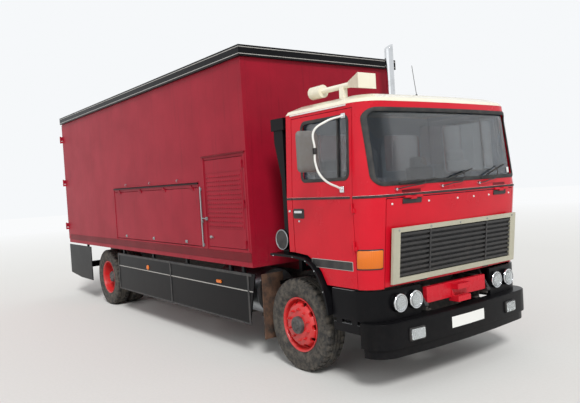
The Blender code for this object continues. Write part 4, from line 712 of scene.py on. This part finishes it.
def nose_path(start, z):
    """Points and normals from the right flank round the nose to the left one."""
    half, front = cab_level(z)
    across = half - CORNER
    corners = []
    for flank in (-1, 1):
        corner = [(Vector((start, flank * half, 0)), Vector((0, flank, 0)))]
        for k in range(19):
            angle = math.radians(90 * k / 18)
            normal = Vector((math.sin(angle), flank * math.cos(angle), 0))
            corner.append((Vector((front - BOW - CORNER, flank * across, 0)) + normal * CORNER,
                           normal))
        corners.append(corner)
    middle = [(Vector((front_at(across * share, z), across * share, 0)), Vector((1, 0, 0)))
              for share in (-0.75, -0.5, -0.25, 0, 0.25, 0.5, 0.75)]
    return corners[0] + middle + corners[1][::-1]


def cab_band(name, z_low, z_high, proud, lengths, finish, under=0.003):
    """A strip round the cab, in one length for each body that carries it."""
    z = (z_low + z_high) / 2
    for number, (body, side, start, end) in enumerate(lengths):
        path = flank_path(side, start, end, cab_level(z)[0]) if side else nose_path(start, z)
        stations = [[(p.x + n.x * out, p.y + n.y * out, level)
                     for out, level in ((-under, z_low), (proud, z_low + 0.003),
                                        (proud, z_high - 0.003), (-under, z_high))]
                    for p, n in path]
        piece(f"{name}_{number}", finish, body, (add_sweep, stations))


def waist():
    """Black strip round the cab at the waist, with a thin pale bead along its top."""
    lengths = [("cab", 0, fore(1.037), 0)]
    for word, side in sides():
        lengths.append((f"cab_door_{word}", side, fore(0.107), fore(1.0)))
        lengths.append(("cab", side, fore(0.003), fore(0.093)))
    cab_band("waist_strip", 1.867, 1.888, 0.006, lengths, RUBBER)
    cab_band("waist_bead", 1.8885, 1.893, 0.004, lengths, WHITE_SHEET)


def front_surface(y, z, out):
    """The point that far off the cab's front at a width and height."""
    near, far = front_at(y - 0.01, z), front_at(y + 0.01, z)
    normal = Vector((0.02, near - far, 0)).normalized()
    return Vector((front_at(y, z), y, z)) + normal * out


def glazing():
    """Window rubbers, quarter-light bars and the panes in the cab's back wall."""
    frame_round("windscreen_rubber", SCREEN, front_surface, 0.040, 0.010, RUBBER, "cab")
    for word, side in sides():
        door = f"cab_door_{word}"
        frame_round(f"window_rubber_{word}", WINDOW,
                    lambda x, z, out: Vector((fore(x), side * (side_at(z) + out), z)),
                    0.034, 0.006, RUBBER, door)
        bar = [[(fore(0.82) + x, side * (side_at(z) - inset), z)
                for x, inset in ((-0.008, 0.035), (0.008, 0.035), (0.008, 0.008),
                                 (-0.008, 0.008))] for z in (2.05, 2.67)]
        piece(f"quarter_light_bar_{word}", RUBBER, door, (add_sweep, bar))
        # rear window pane, held in the back wall
        pane = rounded(side * 0.275, 2.115, side * 0.925, 2.565, 0.03)
        piece(f"back_pane_{word}", FINISH["glass"], "cab",
              (add_plate, "x", pane, fore(0.028), fore(0.034)), node_slot="glass")


def door_furniture():
    """Handles, locks and the blank name strip in its pale frame."""
    for word, side in sides():
        body = f"cab_door_{word}"

        def out(amount):
            return side * (CAB_HALF + amount)

        def flush(name, x_low, z_low, x_high, z_high, corner, near, far, finish, soften=0.0):
            outline = rounded(fore(x_low), z_low, fore(x_high), z_high, corner)
            piece(f"{name}_{word}", finish, body, (add_plate, "y", outline, out(near), out(far)),
                  soften=soften)

        flush("handle_bezel", 0.104, 1.672, 0.289, 1.775, 0.022, -0.002, 0.004, PLASTIC, 0.002)
        flush("handle_well", 0.118, 1.685, 0.275, 1.762, 0.018, 0.0035, 0.0052, RUBBER)
        flush("handle_paddle", 0.130, 1.728, 0.262, 1.756, 0.010, 0.004, 0.013, CHROME, 0.003)
        root, face, keyhole = [(fore(0.20), out(d), 1.645) for d in (-0.001, 0.006, 0.0075)]
        piece(f"key_lock_{word}", CHROME, body, (add_rod, root, face, 0.013, 0.011, 24),
              (add_rod, face, keyhole, 0.006, 0.006, 12))
        flush("name_strip_frame", 0.375, 1.180, 0.993, 1.270, 0.006, -0.002, 0.0022, GREY_LINE)
        flush("name_strip", 0.381, 1.186, 0.987, 1.264, 0.004, 0.001, 0.0032, PLASTIC)
        root, face = [(fore(0.045), out(d), 1.750) for d in (-0.001, 0.010)]
        piece(f"tilt_lock_button_{word}", CHROME, "cab", (add_rod, root, face, 0.016, 0.012, 24))


LAMP_STEPS = 12


def corner_lamps():
    """Amber indicators wrapped round the front corners, each in a dark rim."""
    for word, side in sides():
        for name, finish, start, end, low, high, proud in (
                ("rim", RUBBER, 11.5, 73.0, 1.196, 1.389, 0.006),
                ("lens", AMBER, 13.5, 71.0, 1.207, 1.378, 0.015)):
            stations = []
            for k in range(LAMP_STEPS + 1):
                angle = math.radians(start + (end - start) * k / LAMP_STEPS)
                edge = 0.004 if k in (0, LAMP_STEPS) else 0.0
                stations.append([corner_point(side, z, angle, out) for z, out in (
                    (low, -0.002), (low + edge, proud * 0.7 - edge),
                    (low + 0.008 + edge, proud - edge), (high - 0.008 - edge, proud - edge),
                    (high - edge, proud * 0.7 - edge), (high, -0.002))])
            piece(f"indicator_{name}_{word}", finish, "cab", (add_sweep, stations))


def face_slab(name, y_low, y_high, z_low, z_high, root, proud, finish, body):
    """A thin slab on the tucked front below the waist; depths are off the cab's middle face."""
    piece(name, finish, body, (add_sweep, [
        [(cab_level(z)[1] + depth, y, z)
         for z, depth in ((z_low, root), (z_low, proud), (z_high, proud), (z_high, root))]
        for y in (y_low, y_high)]))


def flap_furniture():
    """The grille's backing, dividers and bolts, hinge covers, studs and latches."""
    flap, bolt_z, stud_z, latch_z = "front_flap", 1.553, 1.80, 1.035
    face_slab("grille_backing", -0.884, 0.884, 1.096, 1.534, 0.0009, 0.0035, RUBBER, flap)
    for number, y in enumerate((-0.45, 0.45)):
        face_slab(f"grille_divider_{number}", y - 0.010, y + 0.010, 1.099, 1.531, 0.0042, 0.0285,
                  FINISH["grille_beige"], flap)
    x = cab_level(bolt_z)[1] + 0.030
    piece("grille_bolts", ZINC, flap,
          *[(add_rod, (x - 0.001, y, bolt_z), (x + 0.005, y, bolt_z), 0.010, 0.009, 6)
            for y in (-0.9, -0.45, 0.0, 0.45, 0.9)], flat=True)
    cover = ((1.792, -0.002), (1.796, 0.010), (1.840, 0.010), (1.843, -0.002))
    # each vent slot is a thin dark red strip, a painted shade standing for the opening in the panel
    slot = ((1.897, -0.002), (1.897, 0.0015), (1.925, 0.0015), (1.925, -0.002))
    for number, (low, high) in enumerate(((-0.80, -0.556), (0.61, 0.846))):
        for name, section, finish, body, soften in (
                ("flap_hinge_cover", cover, PLASTIC, flap, 0.002),
                ("vent_slot_shade", slot, DARK_RED, "cab", 0.0)):
            stations = [[front_surface(low + (high - low) * k / 6, z, out) for z, out in section]
                        for k in range(7)]
            piece(f"{name}_{number}", finish, body, (add_sweep, stations), soften=soften)
    piece("flap_studs", WHITE_SHEET, flap,
          *[(add_rod, front_surface(y, stud_z, -0.001), front_surface(y, stud_z, 0.008), 0.011,
             0.008, 12) for y in (-0.93, -0.45, -0.02, 0.25, 0.52, 0.92)])
    x = front_at(0.5, latch_z)
    piece("flap_latches", PLASTIC, flap,
          *[(add_block, (x - 0.02, y - 0.05, 1.024), (x + 0.006, y + 0.05, 1.042))
            for y in (-0.5, 0.5)], soften=0.003)


# Each wiper: its pivot and the blade's far end, as y, z, y, z
WIPERS = ((-0.88, 1.935, -0.333, 2.012), (-0.264, 1.935, 0.229, 2.085),
          (0.335, 1.935, 0.834, 2.115))
BLADE = ((-0.007, 0.012), (-0.004, 0.028), (0.004, 0.028), (0.007, 0.012))


def wipers():
    """Three wipers: pivot, bent arm and rubber blade."""
    for number, (y0, z0, y1, z1) in enumerate(WIPERS):
        piece(f"wiper_pivot_{number}", CHROME, "cab",
              (add_rod, front_surface(y0, z0, -0.002), front_surface(y0, z0, 0.028), 0.017, 0.012,
               20))
        arm = ((y0, z0, 0.024), (y0 + 0.12, z0 + 0.016, 0.034),
               ((y0 + y1) / 2 + 0.10, (z0 + z1) / 2 + 0.010, 0.030), (y1 - 0.18, z1 - 0.020, 0.026))
        tube(f"wiper_arm_{number}", [front_surface(*spot) for spot in arm], 0.006, PLASTIC, "cab")
        line = [(y1 + (y0 - y1) * 0.92 * k / 8, z1 + (z0 + 0.050 - z1) * k / 8) for k in range(9)]
        piece(f"wiper_blade_{number}", RUBBER, "cab",
              (add_sweep, [[front_surface(y, z + rise, out) for rise, out in BLADE]
                           for y, z in line]))


MIRROR_ARM = ((0.93, side_at(2.66) + 0.012, 2.66), (0.90, 1.36, 2.60), (0.84, 1.45, 2.52),
              (0.84, 1.45, 2.36), (0.84, 1.45, 2.21), (0.87, 1.40, 2.08), (0.90, 1.20, 1.965))
MIRROR_Y, MIRROR_Z = 1.51, 2.335


def mirrors():
    """Truck mirrors: a painted tube arm, a moulded head with its glass, and a ball clamp."""
    for word, side in sides():
        body = f"cab_door_{word}"
        arm = tube(f"mirror_arm_{word}", [(fore(x), side * y, z) for x, y, z in MIRROR_ARM], 0.011,
                   FINISH["white_paint"], body)
        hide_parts(f"mirror_{word}")
        piece(f"mirror_feet_{word}", CHROME, body,
              *[(add_block, (fore(x), side * (side_at(z) - 0.001), z),
                 (fore(x + 0.06), side * (side_at(z) + 0.014), top))
                for x, z, top in ((0.87, 1.93, 1.99), (0.90, 2.635, 2.685))], soften=0.005)
        head = rounded(side * (MIRROR_Y - 0.123), MIRROR_Z - 0.193, side * (MIRROR_Y + 0.123),
                       MIRROR_Z + 0.193, 0.045)
        piece(f"mirror_head_{word}", GREY_PLASTIC, body,
              (add_plate, "x", head, (fore(0.790), 0.96), fore(0.793), fore(0.806),
               (fore(0.822), 0.93), (fore(0.830), 0.78)))
        glass = [(side * MIRROR_Y + (y - side * MIRROR_Y) * 0.9, MIRROR_Z + (z - MIRROR_Z) * 0.94)
                 for y, z in head]
        piece(f"mirror_glass_{word}", CHROME, body,
              (add_plate, "x", glass, fore(0.789), fore(0.7905)))
        piece(f"mirror_clamp_{word}", PLASTIC, body,
              (add_block, (fore(0.824), side * 1.432, 2.305), (fore(0.856), side * 1.468, 2.365)),
              soften=0.006)


# Nose below the cab

LAMPS = (0.653, 0.87)
LAMP_X, LAMP_Z = 4.4405, 0.861
FOG_Y, FOG_Z = 0.75, 0.565
BEZEL = ((0.076, -0.004), (0.090, -0.004), (0.0895, 0.006), (0.084, 0.012), (0.077, 0.010),
         (0.076, -0.004))
LAMP_GLASS = ((0.0, 0.006), (0.076, 0.001), (0.0765, 0.006), (0.062, 0.013), (0.040, 0.0165),
              (0.020, 0.018), (0.0, 0.0185))


def lamps():
    """Round headlamps in pairs, and fog lamps let into the bowed bumper."""
    for word, side in sides():
        for number, y in enumerate(LAMPS):
            centre = (LAMP_X, side * y, LAMP_Z)
            for name, profile, finish in (("bezel", BEZEL, CHROME),
                                          ("glass", LAMP_GLASS, CLEAR_LENS)):
                piece(f"headlamp_{name}_{word}_{number}", finish, "chassis",
                      (add_turned, profile, centre, 1, 48, True))
            piece(f"headlamp_reflector_{word}_{number}", CHROME, "chassis",
                  (add_rod, (LAMP_X + 0.0008, *centre[1:]), (LAMP_X + 0.0025, *centre[1:]), 0.075,
                   None, 32))
        for name, finish, margin, corner, depths in (
                ("rim", PLASTIC, 0.0, 0.02, ((-0.004, 1.0), (0.012, 1.0), (0.018, 0.94))),
                ("reflector", CHROME, 0.012, 0.015, ((0.012, 0.97), (0.0184, 0.97))),
                ("glass", CLEAR_LENS, 0.012, 0.015, ((0.0186, 1.0), (0.0215, 1.0)))):
            outline = rounded(side * (FOG_Y - 0.1 + margin), FOG_Z - 0.063 + margin,
                              side * (FOG_Y + 0.1 - margin), FOG_Z + 0.063 - margin, corner)
            stations = [[(4.55 - 0.05 * (y / 0.99) ** 2 + out,
                          side * FOG_Y + (y - side * FOG_Y) * shrink,
                          FOG_Z + (z - FOG_Z) * shrink) for y, z in outline]
                        for out, shrink in depths]
            piece(f"fog_lamp_{name}_{word}", finish, "chassis", (add_sweep, stations))


# The box body

ROOF_LINES = (3.562, 3.640)
FLANK = -1.249
TAIL = -4.550
LOUVRE_ROWS, LOUVRE_COLUMNS = 12, 15
LOUVRE_RISE, LOUVRE_STEP, LOUVRE_WIDTH = 0.056, 0.0545, 0.040
LOUVRE_PROUD = -1.2595
RIVET_PITCH, SILL_PITCH = 0.11, 0.22
HOOKS = (-2.45, -3.39, -4.35)
CATCHES = (-2.30, -3.39, -4.48)
LOCK_Y, LOCK_HEIGHTS = 0.16, (2.00, 3.20, 1.35)


def dots(points, normal, size, height):
    """Steps that make low domed rivet heads."""
    return [(add_rod, Vector(point) - normal * 0.001, Vector(point) + normal * height, size,
             size * 0.55, 8) for point in points]


def add_bar(form, x_low, x_high, side, face, proud, z_low, z_high, slope=0.0):
    """A strip along a flank whose outer face is that far off the face."""
    y, out = side * (face - 0.002), side * (face + proud)
    add_sweep(form, [[(x, y, z_low), (x, out, z_low), (x, out, z_high - slope), (x, y, z_high)]
                     for x in (x_low, x_high)])


def red_trim(name, body, *steps):
    """Trim in the body's own paint."""
    piece(name, FINISH["box_red"], body, *steps, node_slot="box_red")


def body_trim():
    """Rivets, mouldings, roof lines and corner angles."""
    nose, tail = fore(BOX_NOSE), fore(BOX_TAIL)
    heights = [1.30 + RIVET_PITCH * k for k in range(21)]
    rivets = []
    for word, side in sides():
        outward = Vector((0, side, 0))
        rivets += dots([(nose - 0.030, side * BOX_HALF, z) for z in heights], outward, 0.008,
                       0.004)
        rivets += dots([(nose, side * (BOX_HALF - 0.030), z) for z in heights],
                       Vector((1, 0, 0)), 0.008, 0.004)
        rivets += dots([(nose - 0.20 - SILL_PITCH * k, side * BOX_HALF, 1.235)
                        for k in range(31)], outward, 0.007, 0.010)
    red_trim("body_rivets", "chassis", *rivets)
    for word, side in sides():
        piece(f"body_moulding_{word}", DARK_RED, "chassis",
              (add_bar, tail + 0.10, nose - 0.004, side, BOX_HALF, 0.006, 1.155, 1.262, 0.006))
        for number, z in enumerate(ROOF_LINES):
            piece(f"roof_line_{word}_{number}", GREY_LINE, "chassis",
                  (add_bar, tail + 0.01, fore(-0.626), side, 1.290, 0.0025, z, z + 0.009))
        section = ((-0.060, 1.2485), (-0.060, 1.2525), (0.0025, 1.2525), (0.0025, 1.19),
                   (-0.001, 1.19), (-0.001, 1.2485))
        red_trim(f"corner_angle_{word}", "chassis",
                 (add_sweep, [[(nose + x, side * y, z) for x, y in section]
                              for z in (1.268, 3.535)]))
    piece("roof_line_nose", GREY_LINE, "chassis",
          *[(add_block, (fore(-0.6255), -1.288, z), (fore(-0.6235), 1.288, z + 0.009))
            for z in ROOF_LINES])


def side_openings():
    """Louvres, gutters, door frame, hooks and the lock bar on the driver's side."""
    louvres = []
    for row in range(LOUVRE_ROWS):
        for column in range(LOUVRE_COLUMNS):
            x, z = fore(-1.635) + LOUVRE_STEP * column, 1.560 + LOUVRE_RISE * row
            louvres.append((add_sweep, [[(place, FLANK, z + 0.026),
                                         (place, LOUVRE_PROUD, z + 0.004), (place, FLANK, z)]
                                        for place in (x, x + LOUVRE_WIDTH)]))
    red_trim("side_door_louvres", "side_door", *louvres)
    rim = []
    for x, z in refined(rounded(fore(-1.655), 1.535, fore(-0.79), 2.245, 0.012), 0.2):
        x_in, z_in = x + (fore(-1.22) - x) * 0.03, z + (1.89 - z) * 0.03
        rim.append([(x, FLANK, z), (x, -1.2535, z), (x_in, -1.2535, z_in), (x_in, FLANK, z_in)])
    red_trim("louvre_frame", "side_door", (add_sweep, rim, True))
    x, z = fore(-1.60), 1.42
    piece("side_door_handle", ZINC, "side_door",
          (add_rod, (x, FLANK, z), (x, -1.262, z), 0.022, 0.018, 20),
          (add_rod, (x, -1.258, z), (fore(-1.52), -1.266, z), 0.008, 0.006, 10))
    for name, finish, x_low, x_high, z in (
            ("side_door_gutter", DARK_RED, -1.73, -0.69, 2.440),
            ("locker_gutter", FINISH["black_paint"], -4.93, -1.86, 2.108)):
        piece(name, finish, "chassis",
              (add_bar, fore(x_low), fore(x_high), -1, BOX_HALF, 0.020, z, z + 0.022, 0.010))
    red_trim("opening_frames", "chassis",
             *[(add_bar, fore(x_low), fore(x_low) + wide, -1, BOX_HALF, proud, z_low, z_high,
                slope)
               for x_low, wide, proud, z_low, z_high, slope in (
                   (-4.93, 3.07, 0.008, 2.134, 2.150, 0.002),
                   (-1.715, 0.025, 0.008, 1.27, 2.435, 0.0),
                   (-0.722, 0.025, 0.008, 1.27, 2.435, 0.0),
                   (-4.93, 0.012, 0.006, 1.27, 2.10, 0.0),
                   (-1.868, 0.012, 0.006, 1.27, 2.10, 0.0))])
    for number, x in enumerate(HOOKS):
        tube(f"gutter_hook_{number}",
             [(fore(x), y, z) for y, z in ((-1.248, 2.19), (-1.272, 2.185), (-1.278, 2.165),
                                           (-1.266, 2.155))], 0.0045, ZINC, "chassis")
    x = fore(-1.800)
    piece("lock_bar", ZINC, "chassis",
          (add_rod, (x, -1.266, 1.285), (x, -1.266, 2.070), 0.010, None, 16),
          *[(add_block, (x - 0.020, FLANK, z - 0.018), (x + 0.020, -1.262, z + 0.018))
            for z in (1.31, 1.62, 2.04)],
          (add_rod, (x, -1.268, 1.66), (x + 0.14, -1.276, 1.655), 0.009, 0.007, 12),
          (add_block, (x + 0.10, FLANK, 1.635), (x + 0.150, -1.268, 1.675)), soften=0.0015)
    steps = []
    for x in CATCHES:
        steps += [(add_block, (fore(x) - 0.03, FLANK, 1.312), (fore(x) + 0.03, -1.258, 1.352)),
                  (add_rod, (fore(x), -1.256, 1.332), (fore(x), -1.268, 1.332), 0.012, 0.010, 12)]
    piece("locker_catches", ZINC, "locker_flap", *steps, soften=0.002)


def rear_face():
    """Flush paddle locks, door seals, rear lamps and a blank plate."""
    for word, side in sides():
        door = f"rear_door_{word}"
        for name, finish, wide, high, corner, near, far in (
                ("tray", ZINC, 0.06, 0.045, 0.015, 0.002, -0.0003),
                ("paddle", CHROME, 0.045, 0.022, 0.010, 0.0, -0.0008)):
            piece(f"rear_lock_{name}_{word}", finish, door,
                  *[(add_plate, "x", rounded(side * (LOCK_Y - wide), z - high,
                                             side * (LOCK_Y + wide), z + high, corner),
                     TAIL + near, TAIL + far) for z in LOCK_HEIGHTS])
        seal = []
        for y, z in refined(rounded(side * 0.02, 1.18, side * 1.225, 3.51, 0.02), 0.4):
            y_in, z_in = y + (side * 0.62 - y) * 0.03, z + (2.35 - z) * 0.016
            seal.append([(TAIL + 0.001, y, z), (TAIL - 0.0005, y, z), (TAIL - 0.0005, y_in, z_in),
                         (TAIL + 0.001, y_in, z_in)])
        piece(f"rear_door_seal_{word}", RUBBER, door, (add_sweep, seal, True))
        for name, finish, low, high in (("stop", RED_LENS, 0.96, 1.10),
                                        ("turn", AMBER, 0.85, 0.95)):
            piece(f"{name}_lamp_{word}", finish, "chassis",
                  (add_plate, "x", rounded(side * low, 0.535, side * high, 0.625, 0.012),
                   -4.499, -4.522, (-4.528, 0.9)))
    piece("rear_plate", WHITE_SHEET, "chassis",
          (add_plate, "x", rounded(-0.26, 0.525, 0.26, 0.636, 0.008), -4.499, -4.5035))


# Flanks under the body

GUARD_RIVETS = ((-0.25, 1.262), (0.10, 1.264), (0.315, 1.236), (0.455, 1.145), (0.575, 0.945))


def skirts_trim():
    """Skirt angles and lines, side markers, mudguard rivets, step treads and mud flaps."""
    for word, side in sides():
        def bar(x_low, x_high, proud, z_low, z_high, slope=0.0):
            return (add_bar, fore(x_low), fore(x_high), side, BOX_HALF, proud, z_low, z_high,
                    slope)

        def disc(near, far, radius, tip):
            y = side * (BOX_HALF - 0.001)
            return (add_rod, (fore(-3.70), y + side * near, 0.860),
                    (fore(-3.70), y + side * far, 0.860), radius, tip, 32)

        def step(x_low, x_high, near, far, z_low, z_high):
            return (add_block, (fore(x_low), side * near, z_low),
                    (fore(x_high), side * far, z_high))

        piece(f"skirt_line_{word}", GREY_LINE, "chassis", bar(-4.94, -0.69, 0.003, 0.800, 0.812))
        piece(f"skirt_angles_{word}", PLASTIC, "chassis",
              *[bar(x, x + 0.035, 0.007, 0.405, 1.015) for x in (-4.945, -2.90, -0.80)],
              bar(-4.94, -0.70, 0.006, 0.985, 1.018, 0.003),
              bar(-4.94, -0.80, 0.005, 0.404, 0.430, 0.003))
        piece(f"side_markers_{word}", AMBER, "chassis", disc(0.0, 0.010, 0.040, 0.036),
              disc(0.009, 0.016, 0.034, 0.026), bar(-1.525, -1.415, 0.014, 0.842, 0.880, 0.004))
        piece(f"mudguard_rivets_{word}", ZINC, "chassis",
              *dots([(fore(x), side * 1.24, z) for x, z in GUARD_RIVETS], Vector((0, side, 0)),
                    0.008, 0.004))
        piece(f"step_treads_{word}", ALUMINIUM, "chassis",
              step(0.665, 1.025, 1.062, 1.183, 0.6602, 0.6625),
              *[step(0.69 + 0.042 * k, 0.70 + 0.042 * k, 1.068, 1.177, 0.662, 0.6655)
                for k in range(8)],
              step(0.67, 0.97, 1.045, 1.188, 0.9922, 0.9955))
        # the rubber flap behind the front wheel, dressed over its solid
        low, high = sorted((side * 0.848, side * 1.152))
        flap = []
        for k in range(9):
            z, sag = 0.236 + 0.768 * k / 8, 0.003 * math.sin(k * 1.3)
            flap.append([(fore(x) + sag * share, y, z) for x, y, share in (
                (-0.6475, low, 0.3), (-0.6475, high, 1), (-0.6325, high, 1),
                (-0.6325, low, 0.3))])
        piece(f"mud_flap_{word}", MUD_RUBBER, "chassis", (add_sweep, flap))


def breather():
    """The air cleaner's end ring and cover."""
    centre = (fore(-0.19), -1.150, 1.43)
    ring = ((0.101, -0.001), (0.101, 0.003), (0.105, 0.006), (0.111, 0.006), (0.1145, 0.003),
            (0.1145, -0.001), (0.101, -0.001))
    cover = ((0.0, 0.0035), (0.030, 0.0035), (0.034, 0.0015), (0.100, 0.0015), (0.1005, -0.001),
             (0.0, -0.001))
    piece("air_cleaner_ring", ZINC, "chassis", (add_turned, ring, centre, -1, 48))
    piece("air_cleaner_cover", PLASTIC, "chassis", (add_turned, cover, centre, -1, 48))


# Cab roof and inside

def roof_fittings():
    """The aerial, and a rain gutter over each door."""
    base = Vector((fore(AERIAL_X), AERIAL_Y, 2.868))
    piece("aerial_foot", RUBBER, "cab",
          (add_rod, base, base + Vector((0, 0, 0.032)), 0.017, 0.009, 20))
    tube("aerial_whip", [base + Vector(step) for step in ((0, 0, 0.028), (-0.02, 0, 0.16),
                                                          (-0.045, 0, 0.34))],
         0.003, PLASTIC, "cab")
    half = side_at(2.77)
    for word, side in sides():
        section = ((-0.003, 2.752), (0.009, 2.754), (0.009, 2.766), (-0.003, 2.768))
        piece(f"rain_gutter_{word}", WHITE_SHEET, "cab",
              (add_sweep, [[(fore(x), side * (half + out), z) for out, z in section]
                           for x in (0.08, 0.60, 0.96)]))


def padded_block(name, low, high, corner):
    """A foam block: crowned faces and soft edges, from a bevelled and subdivided box."""
    form = bmesh.new()
    add_block(form, low, high)
    bmesh.ops.bevel(form, geom=form.edges[:], affect="EDGES", offset=corner, segments=3,
                    profile=0.5, material=-1)
    bmesh.ops.subdivide_edges(form, edges=form.edges[:], cuts=2, use_grid_fill=True)
    item = finished(name, form, FINISH["seat_fabric"], "cab")
    smooth = item.modifiers.new("soft", "SUBSURF")
    smooth.levels = smooth.render_levels = 1
    return item


# Folds of the dash cloth: x ahead of the axle, y, z and radius
BUNDLE = ((1.03, -0.93, 2.02, 0.050), (1.06, -0.86, 2.01, 0.040), (1.04, -0.79, 2.005, 0.036))


def cab_inside():
    """Seats, dash top, a blank paper in the windscreen and a cloth bundle on the dash."""
    for word, side in sides():
        near, far = side * 0.475, side * 0.945
        cushion = padded_block(f"seat_cushion_{word}", (fore(0.20), near, 1.40),
                               (fore(0.69), far, 1.585), 0.045)
        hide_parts(f"seat_{word}")
        padded_block(f"seat_back_{word}", (fore(0.145), near + side * 0.02, 1.56),
                     (fore(0.275), far - side * 0.02, 2.16), 0.05)
        padded_block(f"head_rest_{word}", (fore(0.145), side * 0.58, 2.10),
                     (fore(0.245), side * 0.84, 2.28), 0.04)
        piece(f"seat_base_{word}", PLASTIC, "cab",
              (add_block, (fore(0.20), side * 0.50, 1.3253), (fore(0.66), side * 0.92, 1.405)),
              node_slot="seat_fabric", soften=0.006)
    dash = ((0.965, 1.955), (0.965, 1.978), (1.00, 1.992), (1.13, 1.984), (1.145, 1.966),
            (1.145, 1.955))
    piece("dash_top", PLASTIC, "cab", (add_sweep, [[(fore(x), y, z) for x, z in dash]
                                                   for y in (-1.03, -0.5, 0.0, 0.5, 1.03)]),
          soften=0.004)
    label = ((2.025, -0.0205), (2.025, -0.0195), (2.085, -0.0195), (2.085, -0.0205))
    piece("windscreen_label", WHITE_SHEET, "cab",
          (add_sweep, [[front_surface(y, z, out) for z, out in label]
                       for y in (0.955, 0.985, 1.015)]))
    for number, (x, y, z, size) in enumerate(BUNDLE):
        middle = Vector((fore(x), y, z))
        form = bmesh.new()
        bmesh.ops.create_icosphere(form, subdivisions=3, radius=size,
                                   matrix=Matrix.Translation(middle))
        for vert in form.verts:
            arm = vert.co - middle
            wave = math.sin(arm.x * 190 + number) * math.sin(arm.y * 170) * math.sin(arm.z * 150)
            vert.co += arm.normalized() * wave * 0.009
        finished(f"dash_cloth_{number}", form, PALE_COTTON, "cab")


# Camera, lights and floor

EYE_PLACE = (8.3562, -5.0064, 2.0558)
HEADING, PITCH, ROLL = math.radians(145) - 0.0286, -0.0315, -0.0602
FOCAL_LENGTH, FRAME_WIDTH = 37.18, 36.0
SKY_ON_OBJECT, SKY_SEEN = 0.62, 1.0
FLOOR_RADIUS, FADE_START, FADE_END = 60.0, 9.0, 30.0


def make_camera():
    """The camera at the photograph's place, fitted to the truck's corners."""
    look = Vector((math.cos(HEADING) * math.cos(PITCH), math.sin(HEADING) * math.cos(PITCH),
                   math.sin(PITCH)))
    right = look.cross(Vector((0, 0, 1))).normalized()
    up = right.cross(look)
    across = right * math.cos(ROLL) + up * math.sin(ROLL)
    over = up * math.cos(ROLL) - right * math.sin(ROLL)
    eye = bpy.data.cameras.new("photo_view")
    eye.lens, eye.sensor_width, eye.sensor_fit = FOCAL_LENGTH, FRAME_WIDTH, "HORIZONTAL"
    camera = bpy.data.objects.new("photo_view", eye)
    camera.matrix_world = (Matrix.Translation(EYE_PLACE)
                           @ Matrix((across, over, -look)).transposed().to_4x4())
    bpy.context.scene.collection.objects.link(camera)
    bpy.context.scene.camera = camera


def make_lights():
    """A broad sun from ahead and to the right, a soft fill, and a pale sky."""
    for name, power, angle, aim in (("sun", 2.3, 0.25, (-0.80, 0.45, -0.85)),
                                    ("fill", 0.5, 1.2, (-0.2, 1.0, -0.35))):
        light = bpy.data.lights.new(name, "SUN")
        light.energy, light.angle = power, angle
        lamp = bpy.data.objects.new(name, light)
        lamp.rotation_euler = Vector(aim).to_track_quat("-Z", "Y").to_euler()
        bpy.context.scene.collection.objects.link(lamp)
    world = bpy.data.worlds.new("pale_sky")
    bpy.context.scene.world = world
    world.use_nodes = True
    tree = world.node_tree
    tree.nodes.clear()
    rays = add(tree, "LightPath").outputs
    seen = add(tree, "Math", {0: rays["Is Camera Ray"], 1: rays["Is Glossy Ray"]},
               operation="MAXIMUM").outputs[0]
    seen = add(tree, "Math", {0: seen, 1: rays["Is Transmission Ray"]},
               operation="MAXIMUM").outputs[0]
    power = add(tree, "MapRange", {"Value": seen, "To Min": SKY_ON_OBJECT,
                                    "To Max": SKY_SEEN}).outputs[0]
    sky = add(tree, "Background", {"Color": colour("F6F8FA"), "Strength": power})
    add(tree, "OutputWorld", {"Surface": sky.outputs[0]})


def make_floor():
    """Plain pale ground that fades to white far away."""
    form = bmesh.new()
    bmesh.ops.create_circle(form, cap_ends=True, segments=STEPS, radius=FLOOR_RADIUS)
    mesh = bpy.data.meshes.new("floor")
    form.to_mesh(mesh)
    form.free()
    finish, tree, place = new_finish("pale_floor")
    grit = add(tree, "TexNoise", {"Vector": place, "Scale": 30.0, "Detail": 4.0}).outputs[0]
    base = add(tree, "Mix", {0: grit, 6: colour("D6D5D1"), 7: colour("DEDDDA")},
               data_type="RGBA").outputs[2]
    ground = add(tree, "BsdfPrincipled", {"Base Color": base, "Roughness": 0.9})
    flat = add(tree, "VectorMath", {0: place}, operation="LENGTH").outputs["Value"]
    fade = add(tree, "MapRange", {"Value": flat, "From Min": FADE_START,
                                   "From Max": FADE_END}).outputs[0]
    glow = add(tree, "Emission", {"Color": colour("FAFBFC"), "Strength": 1.0})
    blend = add(tree, "MixShader", {0: fade, 1: ground.outputs[0], 2: glow.outputs[0]})
    add(tree, "OutputMaterial", {"Surface": blend.outputs[0]})
    mesh.materials.append(finish)
    floor = bpy.data.objects.new("floor", mesh)
    bpy.context.scene.collection.objects.link(floor)


make_camera()
make_lights()
make_floor()
dress_nodes()
running_gear()
waist()
glazing()
door_furniture()
corner_lamps()
flap_furniture()
wipers()
mirrors()
lamps()
body_trim()
side_openings()
rear_face()
skirts_trim()
breather()
roof_fittings()
cab_inside()

bpy.context.scene.view_settings.view_transform = "Standard"
